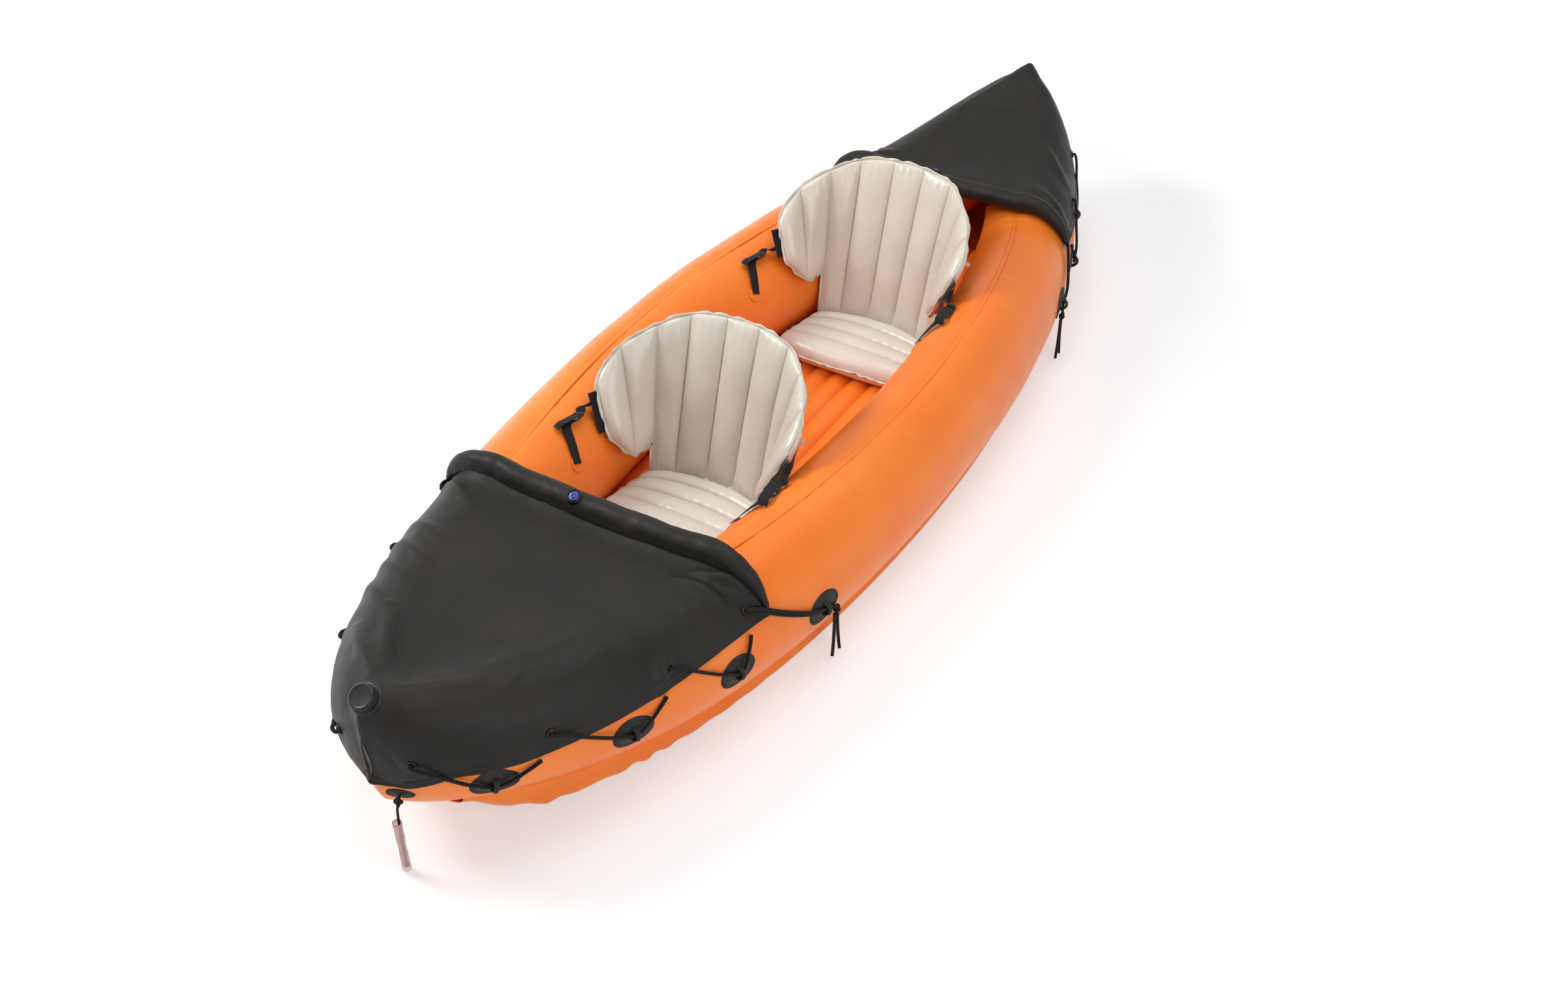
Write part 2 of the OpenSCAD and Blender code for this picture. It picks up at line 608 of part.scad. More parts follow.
// Coaming valves: a black ring on the roll with a clear plug that pulls out
ring_r = 18;
ring_bore = 13.5;
ring_h = 6;
plug_r = 12;
plug_h = 6;
coaming_valve_tilt = 28;
coaming_valve_step = 12;
function coaming_valve_pt(dir) = let (p = coaming_path(dir)[coaming_valve_step + 2])
    [p[0], p[1], p[2]];
function coaming_valve_dir(dir) = [0, dir * sin(coaming_valve_tilt), cos(coaming_valve_tilt)];
module coaming_valve(dir) {
    color(black_rubber)
        stand(coaming_valve_pt(dir) + (coaming_r + seat_gap) * coaming_valve_dir(dir), coaming_valve_dir(dir))
        difference() {
            cylinder(r = ring_r, h = ring_h);
            translate([0, 0, ring_h / 3]) cylinder(r = ring_bore, h = ring_h);
        }
}
module coaming_plug(dir) {
    color(valve_blue)
        stand(coaming_valve_pt(dir) + (coaming_r + seat_gap) * coaming_valve_dir(dir), coaming_valve_dir(dir))
        translate([0, 0, ring_h / 3 + fit_gap]) cylinder(r = plug_r, h = plug_h);
}
module bow_coaming_valve() { coaming_valve(-1); }
module bow_coaming_plug() { coaming_plug(-1); }
module stern_coaming_valve() { coaming_valve(1); }
module stern_coaming_plug() { coaming_plug(1); }

// Seat bases: a cushion of tubes across the boat, the front one the fattest
base_splits = [0, 0.2, 0.42, 0.64, 1];
base_steps = 5;
base_cols = 12;
base_small_r = 26;
base_weld_r = 15;
base_edge = 1.5;
base_flare = 0.13;
base_curve = 0.04;
base_tuck = 0.04;
base_square = 8;
base_hollow = 48;
base_w = 2 * (cockpit_half - base_side);
hinge_gap = 0.4;
hinge_z = panel_t + seat_gap + floor_h + seat_gap + base_r;
function base_swell(i, f) = let (r = i == len(base_splits) - 2 ? base_r : base_small_r)
    i == 0 && f < 0.5 ? r * pow(sin(180 * f), 1.6) : mix(base_weld_r, r, sqrt(max(0, 1 - pow(2 * f - 1, 2))));
function base_rows() = [for (i = [0 : len(base_splits) - 2], k = [0 : base_steps - 1])
    [mix(base_splits[i], base_splits[i + 1], k / base_steps), base_swell(i, k / base_steps)]];
module seat_base(seat_y) {
    rows = concat(base_rows(), [[1, base_edge]]);
    function base_pt(row, b, up) = let (
        f = rows[row][0],
        edge = row == 0 || row == len(rows) - 1 || abs(b) > 0.999,
        h = edge ? base_edge : rows[row][1] * sqrt(1 - pow(abs(b), base_square)) + base_edge)
        [b * base_w / 2 * (1 + base_flare * sin(90 * f)) * (1 - base_tuck * pow(f, 8)),
         seat_y + mix(-hinge_gap - base_edge - base_hollow * b * b, -base_d * (1 - base_curve * b * b), f),
         hinge_z + up * min(h, base_r)];
    cols = [for (k = [0 : base_cols - 1]) mix(-1, 1, k / (base_cols - 1))];
    color(warm_grey) grid_solid([for (i = [0 : len(rows) - 1]) [for (b = cols) base_pt(i, b, 1)]],
        [for (i = [0 : len(rows) - 1]) [for (b = cols) base_pt(i, b, -1)]]);
}
module front_seat_base() { seat_base(front_seat_y); }
module rear_seat_base() { seat_base(rear_seat_y); }

// Backrests: a fan of tubes, bent round the paddler. s counts tubes from the middle, v is the height.
back_half = 4.5;
back_narrow = 2.5;
back_notch = 0.06;
back_steps = 4;
back_rows = 9;
back_shoulder = 0.265;
wing_rise = 90;
wing_curve = 2.2;
tip_round = 26;
back_edge = 1.5;
back_weld_r = 8;
// Plan of the backrest's middle surface on its weld lines, at the hinge line and at the shoulders: the
// tubes of the middle share the cockpit's width, and the wings stand off the cockpit's walls
wing_low_in = 84;
tip_low_in = 99;
wing_top_out = 23;
middle_low_in = 58;
middle_top_in = 34;
plan_low = [[0.17 * cockpit_half, 0], [0.52 * cockpit_half, -20], [cockpit_half - middle_low_in, -46],
    [cockpit_half - wing_low_in, -138], [cockpit_half - tip_low_in, -200]];
plan_top = [[0.19 * cockpit_half, -2], [0.58 * cockpit_half, -22], [cockpit_half - middle_top_in, -72],
    [cockpit_half + wing_top_out, -146], [back_w / 2, -218]];
plan_share = 0.85;
plan_n = len(plan_top);
function plan_knot(list, k) =
    k < 0 ? 2 * plan_knot(list, 0) - plan_knot(list, 1)
    : k > 2 * plan_n - 1 ? 2 * plan_knot(list, 2 * plan_n - 1) - plan_knot(list, 2 * plan_n - 2)
    : let (i = k < plan_n ? plan_n - 1 - k : k - plan_n) [(k < plan_n ? -1 : 1) * list[i][0], list[i][1]];
function spline(a, b, c, d, f) = 0.5 * ((2 * b) + (c - a) * f + (2 * a - 5 * b + 4 * c - d) * f * f
    + (3 * b - a - 3 * c + d) * f * f * f);
function plan_pt(list, s) = let (q = s + back_half, k = clamp(floor(q), 0, 2 * plan_n - 2))
    spline(plan_knot(list, k - 1), plan_knot(list, k), plan_knot(list, k + 1), plan_knot(list, k + 2), q - k);
function back_plan(h, s, v) =
    mix(plan_pt(plan_low, s), plan_pt(plan_top, s), v / (plan_share * h));
function back_normal(h, s, v) = let (d = unit(back_plan(h, s + 0.05, v) - back_plan(h, s - 0.05, v)))
    [-d[1], d[0], 0];
// Share of a wing's length, from its notch to its rounded tip
function wing_share(s) = clamp((abs(s) - back_narrow) / (back_half - back_narrow), 0, 1);
function back_top(h, s) = h * (1 - back_shoulder * pow(abs(s) / back_half, 2.2))
    - tip_round * pow(wing_share(s), 6);
function back_low(wing_z, s) = abs(s) <= back_narrow ? 0
    : wing_z + wing_rise * pow(wing_share(s), wing_curve);
function back_pt(seat_y, h, s, v, off = 0) = let (p = back_plan(h, s, v))
    [p[0], seat_y + back_lean * v + p[1], hinge_z + v] + off * back_normal(h, s, v);
function back_columns() = concat([-back_half],
    [for (i = [-back_half : 1 : back_half - 1], k = [0 : back_steps - 1]) let (s = i + k / back_steps)
        if (s > -back_half) each abs(abs(s) - back_narrow) < 1e-6 ? [s - back_notch, s + back_notch] : [s]],
    [back_half]);
function back_swell(s) = let (f = s + back_half - floor(s + back_half))
    mix(back_weld_r, back_r, sqrt(max(0, 1 - pow(2 * f - 1, 2))));
// Half thickness at the share f of the height of a column
function back_bulge(s, f) = back_edge + (back_swell(s) - back_edge) * sqrt(1 - pow(abs(2 * f - 1), 3));
module backrest(seat_y, h, wing_z) {
    cols = back_columns();
    function back_grid_pt(s, row, way) = let (
        f = row / (back_rows - 1),
        v = mix(back_low(wing_z, s), back_top(h, s), f),
        edge = row == 0 || row == back_rows - 1 || abs(s) >= back_half,
        swell = edge ? back_edge : back_bulge(s, f))
        back_pt(seat_y, h, s, v, way * swell);
    color(warm_grey) grid_solid(
        [for (s = cols) [for (row = [0 : back_rows - 1]) back_grid_pt(s, row, 1)]],
        [for (s = cols) [for (row = [0 : back_rows - 1]) back_grid_pt(s, row, -1)]], flip = true);
}
module front_backrest() { backrest(front_seat_y, front_back_h, front_wing_z); }
module rear_backrest() { backrest(rear_seat_y, rear_back_h, rear_wing_z); }

// A small air nipple behind each backrest's port shoulder
nipple_s = 4;
nipple_share = 0.82;
nipple_r = 5;
nipple_h = 12;
nipple_flange = 8;
nipple_gap = 1.5;
module backrest_valve(seat_y, h, wing_z) {
    v = mix(back_low(wing_z, nipple_s), back_top(h, nipple_s), nipple_share);
    n = back_normal(h, nipple_s, v);
    color(clear_pvc)
        stand(back_pt(seat_y, h, nipple_s, v, back_bulge(nipple_s, nipple_share) + nipple_gap),
            unit(n - [0, 0, back_lean * n[1]])) {
            cylinder(r = nipple_flange, h = 1.5);
            cylinder(r = nipple_r, h = nipple_h);
        }
}
module front_backrest_valve() { backrest_valve(front_seat_y, front_back_h, front_wing_z); }
module rear_backrest_valve() { backrest_valve(rear_seat_y, rear_back_h, rear_wing_z); }

// Straps: webbing from behind each wing down to a buckle, and a tab welded to the chamber below it
buckle_fore = 200;
buckle_ang = 118;
buckle_off = 15.75;
buckle_tilt = 15;
buckle_len = 40;
buckle_w = web_w + 10;
slot_w = 5;
anchor_fore = 284;
anchor_ang = 146;
anchor_len = 44;
anchor_h = 36;
strap_off = back_r + 5.1;
strap_steps = 4;
strap_end_gap = 2.8;
strap_v = 245;
strap_rim = 18;
loose_reach = 44;
loose_fall = 2;
function buckle_pt(seat_y) = hull_pt(lon_at(seat_y - buckle_fore), buckle_ang, buckle_off);
buckle_dir = [sin(buckle_tilt), 0, cos(buckle_tilt)];
// Stops of a strap: a point and the way that the webbing faces there
function strap_stops(seat_y, h) = let (end = buckle_pt(seat_y) + [0, buckle_len / 2 + strap_end_gap, 0]) [
    [back_pt(seat_y, h, 2.9, strap_v, strap_off), back_normal(h, 2.9, strap_v)],
    [back_pt(seat_y, h, 3.6, strap_v, strap_off), back_normal(h, 3.6, strap_v)],
    [back_pt(seat_y, h, 4.2, strap_v, strap_off), back_normal(h, 4.2, strap_v)],
    [back_pt(seat_y, h, 4.8, strap_v, strap_rim), unit([0.85, 0, 0.5])],
    [mix(back_pt(seat_y, h, 4.8, strap_v, strap_rim), end, 0.55) + [10, 2, 4],
        unit(buckle_dir + [0.3, 0, 0])],
    [end + [2, 10, 1], buckle_dir],
    [end, buckle_dir]];
// A band whose two faces are split alike, so that it keeps its thickness where it twists
module banded(path, ways) {
    rings = [for (i = [0 : len(path) - 1]) sweep_ring(path, i, ways[i], band_pts(web_w, web_t))];
    grid_solid([for (r = rings) [r[3], r[2]]], [for (r = rings) [r[0], r[1]]], flip = true);
}
module strap(seat_y, h, side) {
    stops = strap_stops(seat_y, h);
    start = buckle_pt(seat_y) + (buckle_t / 2 + web_t) * buckle_dir;
    reach = -buckle_len / 2;
    loose = through([start, start + [2, reach - 0.2 * loose_reach, 4],
        start + [6, reach - 0.7 * loose_reach, 6],
        start + [10, reach - loose_reach, -loose_fall]], strap_steps);
    last = len(loose) - 1;
    color(black_rubber) {
        banded([for (p = through([for (s = stops) s[0]], strap_steps)) side_pt(side, p)],
            [for (p = through([for (s = stops) s[1]], strap_steps)) side_pt(side, p)]);
        banded([for (p = loose) side_pt(side, p)],
            [for (k = [0 : last]) side_pt(side, unit(mix(buckle_dir, [0.1, 0, 1], k / last)))]);
    }
}
module front_port_strap() { strap(front_seat_y, front_back_h, 1); }
module front_starboard_strap() { strap(front_seat_y, front_back_h, -1); }
module rear_port_strap() { strap(rear_seat_y, rear_back_h, 1); }
module rear_starboard_strap() { strap(rear_seat_y, rear_back_h, -1); }

module buckle(seat_y, side) {
    color(black_rubber) stand(side_pt(side, buckle_pt(seat_y)), side_pt(side, buckle_dir))
        linear_extrude(buckle_t, center = true) difference() {
            square([buckle_w, buckle_len], center = true);
            for (y = [-buckle_len / 4, buckle_len / 4])
                translate([0, y]) square([web_w + 2, slot_w], center = true);
        }
}
module front_port_buckle() { buckle(front_seat_y, 1); }
module front_starboard_buckle() { buckle(front_seat_y, -1); }
module rear_port_buckle() { buckle(rear_seat_y, 1); }
module rear_starboard_buckle() { buckle(rear_seat_y, -1); }

// A tab: a pad on the chamber, and a short strip of webbing from it to the buckle
tab_off = patch_gap + patch_mid_t + web_t;
tab_gap = 5;
tab_level = 14;
module anchor(seat_y, side) {
    lon = lon_at(seat_y - anchor_fore);
    from = hull_pt(lon, anchor_ang, tab_off);
    to = buckle_pt(seat_y) - [0, buckle_len / 2 + tab_gap, 0];
    level = to - [0, tab_level, 1];
    path = through([from, mix(from, level, 0.5) + [0, 0, 3], level, to], strap_steps);
    last = len(path) - 1;
    face = hull_normal(lon, anchor_ang);
    color(black_rubber) {
        pad(side, lon, anchor_ang, anchor_len / 2, anchor_h / 2);
        banded([for (p = path) side_pt(side, p)],
            [for (k = [0 : last]) side_pt(side, unit(mix(face, buckle_dir, k / last)))]);
    }
}
module front_port_anchor() { anchor(front_seat_y, 1); }
module front_starboard_anchor() { anchor(front_seat_y, -1); }
module rear_port_anchor() { anchor(rear_seat_y, 1); }
module rear_starboard_anchor() { anchor(rear_seat_y, -1); }

port_side_chamber();
starboard_side_chamber();
floor_chamber();
bottom_panel();
port_seam_tape();
starboard_seam_tape();
bow_cover();
stern_cover();
bow_coaming();
stern_coaming();
bow_eyelets();
stern_eyelets();
port_bow_patches();
starboard_bow_patches();
port_stern_patches();
starboard_stern_patches();
port_bow_lacing();
starboard_bow_lacing();
port_stern_lacing();
starboard_stern_lacing();
port_bow_lace_tails();
port_stern_lace_tails();
bow_grab_patch();
bow_grab_cord();
bow_grab_sleeve();
nose_valve_base();
nose_valve_cap();
floor_valve_base();
floor_valve_cap();
port_valve_base();
port_valve_cap();
starboard_valve_base();
starboard_valve_cap();
bow_coaming_valve();
bow_coaming_plug();
stern_coaming_valve();
stern_coaming_plug();
front_seat_base();
front_backrest();
front_backrest_valve();
front_port_strap();
front_starboard_strap();
front_port_buckle();
front_starboard_buckle();
front_port_anchor();
front_starboard_anchor();
rear_seat_base();
rear_backrest();
rear_backrest_valve();
rear_port_strap();
rear_starboard_strap();
rear_port_buckle();
rear_starboard_buckle();
rear_port_anchor();
rear_starboard_anchor();
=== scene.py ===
import json
import math

import bmesh
import bpy
import numpy as np
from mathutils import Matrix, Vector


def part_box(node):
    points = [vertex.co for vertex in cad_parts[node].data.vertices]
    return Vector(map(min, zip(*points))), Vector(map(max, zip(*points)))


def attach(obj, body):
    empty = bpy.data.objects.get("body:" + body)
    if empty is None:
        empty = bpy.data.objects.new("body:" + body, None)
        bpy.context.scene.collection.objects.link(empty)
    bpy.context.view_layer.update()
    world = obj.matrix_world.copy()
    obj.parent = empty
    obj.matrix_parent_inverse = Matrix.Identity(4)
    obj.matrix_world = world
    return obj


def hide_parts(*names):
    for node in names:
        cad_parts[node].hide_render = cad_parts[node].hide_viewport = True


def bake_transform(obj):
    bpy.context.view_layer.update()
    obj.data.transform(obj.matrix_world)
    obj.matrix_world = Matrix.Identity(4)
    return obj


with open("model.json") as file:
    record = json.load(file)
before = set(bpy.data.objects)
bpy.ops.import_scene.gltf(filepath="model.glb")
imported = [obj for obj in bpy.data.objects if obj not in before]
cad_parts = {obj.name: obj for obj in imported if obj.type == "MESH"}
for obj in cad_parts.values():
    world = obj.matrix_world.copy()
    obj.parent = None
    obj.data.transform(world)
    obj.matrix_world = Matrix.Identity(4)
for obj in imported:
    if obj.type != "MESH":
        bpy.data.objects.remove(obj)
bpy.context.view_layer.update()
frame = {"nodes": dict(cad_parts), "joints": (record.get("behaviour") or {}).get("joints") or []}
print("frame loaded with", len(frame["nodes"]), "nodes")

endNames = {-1: "bow", 1: "stern"}
sideNames = {1: "port", -1: "starboard"}
corners = [(end, side) for end in endNames for side in sideNames]


# Small helpers for angles in degrees and arrays of points

def sinD(a):
    return np.sin(np.radians(a))


def cosD(a):
    return np.cos(np.radians(a))


def unit(v):
    return v / np.linalg.norm(v, axis=-1, keepdims=True)


def mix(a, b, f):
    return a + (b - a) * f


def mirrored(p, side):
    return p * np.array([side, 1.0, 1.0])


def hump(d, width):
    return np.exp(-(d / width) ** 2)


def ridge(d, shape):  # a soft ridge by the distance d, from its height, place and width
    height, place, width = shape
    return height * hump(d - place, width)


def smoothStep(x, low, high):
    f = np.clip((x - low) / (high - low), 0, 1)
    return f * f * (3 - 2 * f)


def crowded(f):  # steps from 0 to 1, drawn closer together near both ends
    return 0.5 - 0.5 * np.cos(np.pi * f)


def bend(a, b, c, f):  # a curve from a to c that leans towards b
    return (1 - f) ** 2 * a + 2 * f * (1 - f) * b + f ** 2 * c


def around(sides):  # angles of a full turn in equal steps
    return np.arange(sides) * 2 * np.pi / sides


# Swell from about -1 to 1: a sum of plane waves near one wavelength, in seeded directions
def undulation(points, wavelength, seed, waves=9):
    rng = np.random.default_rng(seed)
    way = unit(rng.normal(size=(waves, 3)))
    size = 2 * np.pi / (wavelength * rng.uniform(0.7, 1.5, waves))
    phase = rng.uniform(0, 2 * np.pi, waves)
    return np.sin(points @ (way * size[:, None]).T + phase).sum(-1) / waves ** 0.5 * 0.8


# Pleats from -1 to 1: a sine along run, one wave in each length, whose phase drifts with a swell
def pleating(run, length, points, drift, wavelength, seed):
    return np.sin(2 * np.pi * run / length + drift * undulation(points, wavelength, seed))


# Catmull-Rom spline: a cubic from b to c, with the slopes that a and d give it
def splinePoint(a, b, c, d, f):
    return 0.5 * (2 * b + (c - a) * f + (2 * a - 5 * b + 4 * c - d) * f ** 2
                  + (3 * b - a - 3 * c + d) * f ** 3)


# A spline through the stops, with steps points from each to the next
def through(stops, steps):
    stops = np.asarray(stops, float)
    p = np.vstack([stops[:1], stops, stops[-1:]])
    a, b, c, d = (q[:, None] for q in (p[:-3], p[1:-2], p[2:-1], p[3:]))
    curve = splinePoint(a, b, c, d, (np.arange(steps) / steps)[None, :, None])
    return np.vstack([curve.reshape(-1, stops.shape[1]), stops[-1:]])


def pathLength(path):
    return np.concatenate([[0], np.cumsum(np.linalg.norm(np.diff(path, axis=0), axis=1))])


def evenly(path, spacing):
    run = pathLength(path)
    marks = np.linspace(0, run[-1], max(4, int(run[-1] / spacing) + 1))
    return np.stack([np.interp(marks, run, path[:, k]) for k in range(path.shape[1])], 1)


# Meshes: a part is its points, its quads, its end faces and a UV for each point

def gridPart(points, loopCols=False, loopRows=False, caps=False, uv=None, toward=None):
    rows, cols = points.shape[:2]
    ids = np.arange(rows * cols).reshape(rows, cols)
    ends = [ids[0, ::-1].tolist(), ids[-1].tolist()] if caps else []
    if loopCols:
        ids = np.hstack([ids, ids[:, :1]])
    if loopRows:
        ids = np.vstack([ids, ids[:1]])
    quads = np.stack([ids[:-1, :-1], ids[:-1, 1:], ids[1:, 1:], ids[1:, :-1]], -1).reshape(-1, 4)
    verts = points.reshape(-1, 3)
    a, b, c, d = (verts[quads[:, k]] for k in range(4))
    if toward is None:  # signed volume of a closed part
        mid = verts.mean(0)
        tri = np.concatenate([np.stack([a, b, c], 1), np.stack([a, c, d], 1)]) - mid
        volume = np.linalg.det(tri).sum()
        for end in ends:
            e = verts[end] - mid
            volume += np.linalg.det(np.stack([np.repeat(e[:1], len(e) - 2, 0), e[1:-1], e[2:]], 1)).sum()
        inward = volume < 0
    else:
        inward = (np.cross(c - a, d - b) * np.asarray(toward)).sum() < 0
    if inward:
        quads = quads[:, ::-1]
        ends = [e[::-1] for e in ends]
    return {"verts": verts, "quads": quads, "ends": ends,
            "uv": np.zeros((len(verts), 2)) if uv is None else uv.reshape(-1, 2)}


def makeMesh(name, parts, slot, weld=False):
    start = np.cumsum([0] + [len(p["verts"]) for p in parts])
    faces = []
    for p, s in zip(parts, start):
        faces += (p["quads"] + s).tolist() + [[k + int(s) for k in e] for e in p["ends"]]
    mesh = bpy.data.meshes.new(name)
    mesh.from_pydata(np.vstack([p["verts"] for p in parts]).tolist(), [], faces)
    corner = np.empty(len(mesh.loops), np.int32)
    mesh.loops.foreach_get("vertex_index", corner)
    layer = mesh.uv_layers.new(name="UVMap")
    layer.data.foreach_set("uv", np.vstack([p["uv"] for p in parts])[corner].astype(np.float32).ravel())
    if weld:  # closes poles and seams
        bm = bmesh.new()
        bm.from_mesh(mesh)
        bmesh.ops.remove_doubles(bm, verts=bm.verts, dist=1e-6)
        bm.to_mesh(mesh)
        bm.free()
    mesh.polygons.foreach_set("use_smooth", np.ones(len(mesh.polygons), bool))
    mesh.materials.append(finish[slot])
    obj = bpy.data.objects.new(name, mesh)
    bpy.context.scene.collection.objects.link(obj)
    return obj


def makePiece(name, parts, slot, body, *nodes, weld=False):
    obj = makeMesh(name, parts, slot, weld)
    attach(obj, body)
    if nodes:
        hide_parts(*nodes)
    return obj


def thicken(obj, thick, offset):
    wall = obj.modifiers.new("thickness", "SOLIDIFY")
    wall.thickness = thick
    wall.offset = offset


# An outline carried along a path, its second axis towards facing; the outline may change along the path
def sweepPart(path, outline, facing, loop=False):
    t = unit(np.roll(path, -1, 0) - np.roll(path, 1, 0)) if loop else unit(np.gradient(path, axis=0))
    u = unit(np.cross(t, np.broadcast_to(facing, path.shape)))
    v = np.cross(u, t)
    outline = np.broadcast_to(outline, (len(path),) + np.shape(outline)[-2:])
    ring = path[:, None] + outline[..., :1] * u[:, None] + outline[..., 1:] * v[:, None]
    along = np.broadcast_to(pathLength(path)[:, None], ring.shape[:2])
    return gridPart(ring, loopCols=True, loopRows=loop, caps=not loop,
                    uv=np.stack([outline[..., 0], along], -1))


def circle(radius, sides):
    a = around(sides)
    return radius * np.stack([np.cos(a), np.sin(a)], 1)


def bandOutline(width, thick, roundness=0.5, sides=16):  # flat band with rounded edges
    a = around(sides)
    edge = thick * roundness
    return np.stack([np.sign(np.cos(a)) * (width / 2 - edge) + edge * np.cos(a), thick / 2 * np.sin(a)], 1)


# Two axes across a path that turn as little as they can from point to point
def carriedAxes(path):
    t = unit(np.gradient(path, axis=0))
    u = np.empty_like(path)
    u[0] = unit(np.cross(t[0], [0.31, 0.77, 0.55]))  # a slanted way that no cord starts along
    for k in range(1, len(path)):
        u[k] = unit(u[k - 1] - t[k] * (u[k - 1] @ t[k]))
    return u, np.cross(t, u)


twist = {"strands": 3, "pitch": 0.020, "steps": 9, "sides": 7, "strandShare": 0.27, "offShare": 0.24}


# Laid cord: strands wound round the path, each a round tube
def cordParts(path, diameter):
    path = evenly(path, twist["pitch"] / twist["steps"])
    run = pathLength(path)
    u, v = carriedAxes(path)
    ring = circle(diameter * twist["strandShare"], twist["sides"])
    uv = np.stack(np.broadcast_arrays(np.arange(twist["sides"])[None] / twist["sides"], run[:, None]), -1)
    parts = []
    for k in range(twist["strands"]):
        turn = 2 * np.pi * (run / twist["pitch"] + k / twist["strands"])
        mid = path + diameter * twist["offShare"] * (np.cos(turn)[:, None] * u + np.sin(turn)[:, None] * v)
        points = mid[:, None] + ring[None, :, :1] * u[:, None] + ring[None, :, 1:] * v[:, None]
        parts.append(gridPart(points, loopCols=True, caps=True, uv=uv))
    return parts


# Overhand knot: a trefoil curve of the given size, turned by two axes
def knotPath(centre, size, axisA, axisB, steps=72):
    a = np.linspace(0, 2 * np.pi, steps)
    x = np.sin(a) + 2 * np.sin(2 * a)
    y = np.cos(a) - 2 * np.cos(2 * a)
    z = -1.3 * np.sin(3 * a)
    axisA = unit(np.asarray(axisA, float))
    axisC = unit(np.cross(axisA, axisB))
    axisB = np.cross(axisC, axisA)
    return np.asarray(centre) + size / 3 * (x[:, None] * axisA + y[:, None] * axisB + z[:, None] * axisC)


# A profile of radius and height, turned round the axis at a place; ribs press the radius in and out
def lathePart(profile, place, axis, sides=72, ribs=0, ribDepth=0.0, ribSpan=(0, 0)):
    profile = np.asarray(profile, float)
    axis = unit(np.asarray(axis, float))
    side = unit(np.cross(axis, [0.0, 1.0, 0.2]))
    other = np.cross(axis, side)
    a = around(sides)
    inSpan = (profile[:, 1] >= ribSpan[0]) & (profile[:, 1] <= ribSpan[1])
    r = profile[:, :1] - ribDepth * inSpan[:, None] * (0.5 + 0.5 * np.cos(ribs * a))[None]
    points = (np.asarray(place) + r[..., None] * (np.cos(a)[:, None] * side + np.sin(a)[:, None] * other)
              + profile[:, 1, None, None] * axis)
    uv = np.stack(np.broadcast_arrays(a[None] / (2 * np.pi), profile[:, 1:]), -1)
    return gridPart(points, loopCols=True, uv=uv)


# A profile whose corners are each replaced by a short curve
def rounded(profile, radius, steps=5):
    p = np.asarray(profile, float)
    f = np.linspace(0, 1, steps)[:, None]
    out = [p[:1]]
    for a, b, c in zip(p[:-2], p[1:-1], p[2:]):
        r = min(radius, 0.45 * np.linalg.norm(a - b), 0.45 * np.linalg.norm(c - b))
        out.append(bend(b + r * unit(a - b), b, b + r * unit(c - b), f))
    return np.vstack(out + [p[-1:]])


# Materials

def toLinear(hexCode):  # sRGB hex to linear colour
    rgb = np.array([int(hexCode[k:k + 2], 16) for k in (1, 3, 5)]) / 255
    return (*np.where(rgb <= 0.04045, rgb / 12.92, ((rgb + 0.055) / 1.055) ** 2.4).tolist(), 1.0)


def feed(tree, socket, value):  # links another node's socket, or sets the value
    if isinstance(value, bpy.types.NodeSocket):
        tree.links.new(value, socket)
    else:
        socket.default_value = value


# One node with its inputs, its settings and, on a colour ramp, the place and hex colour of each stop
def addNode(tree, kind, inputs, stops=(), **settings):
    node = tree.nodes.new("ShaderNode" + kind)
    for name, value in settings.items():
        setattr(node, name, value)
    for name, value in inputs.items():
        feed(tree, node.inputs[name], value)
    for k, (place, hexCode) in enumerate(stops):
        node.color_ramp.elements[k].position = place
        node.color_ramp.elements[k].color = toLinear(hexCode)
    return node


def startMaterial(name, coordinates):
    material = bpy.data.materials.new(name)
    material.use_nodes = True
    tree = material.node_tree
    where = addNode(tree, "TexCoord", {}).outputs[coordinates]
    return material, tree, where


def setShader(tree, **inputs):
    for name, value in inputs.items():
        feed(tree, tree.nodes["Principled BSDF"].inputs[name.replace("_", " ")], value)


# Calendered vinyl: colour drifts over 250 mm, gloss over 55 mm, with an embossed grain and slack ripples
def vinyl(name, dark, light, rough, specular, grainMm, grainDepth, rippleMm, rippleDepth):
    material, tree, where = startMaterial(name, "Object")
    blotch = addNode(tree, "TexNoise", {"Vector": where, "Scale": 4.0, "Detail": 4.0, "Roughness": 0.55})
    tone = addNode(tree, "ValToRGB", {"Fac": blotch.outputs["Fac"]}, ((0.35, dark), (0.65, light)))
    smear = addNode(tree, "TexNoise", {"Vector": where, "Scale": 18.0, "Detail": 5.0})
    gloss = addNode(tree, "MapRange", {"Value": smear.outputs["Fac"], "From Min": 0.3, "From Max": 0.7,
                                       "To Min": rough[0], "To Max": rough[1]})
    ripple = addNode(tree, "TexNoise", {"Vector": where, "Scale": 1000 / rippleMm, "Detail": 2.0,
                                        "Distortion": 0.6})
    slack = addNode(tree, "Bump", {"Height": ripple.outputs["Fac"], "Strength": 1.0, "Distance": rippleDepth})
    grain = addNode(tree, "TexVoronoi", {"Vector": where, "Scale": 1000 / grainMm}, feature="SMOOTH_F1")
    emboss = addNode(tree, "Bump", {"Height": grain.outputs["Distance"], "Strength": 0.5,
                                    "Distance": grainDepth, "Normal": slack.outputs["Normal"]})
    setShader(tree, Base_Color=tone.outputs["Color"], Roughness=gloss.outputs["Result"],
              Normal=emboss.outputs["Normal"], IOR=1.53, Specular_IOR_Level=specular)
    return material


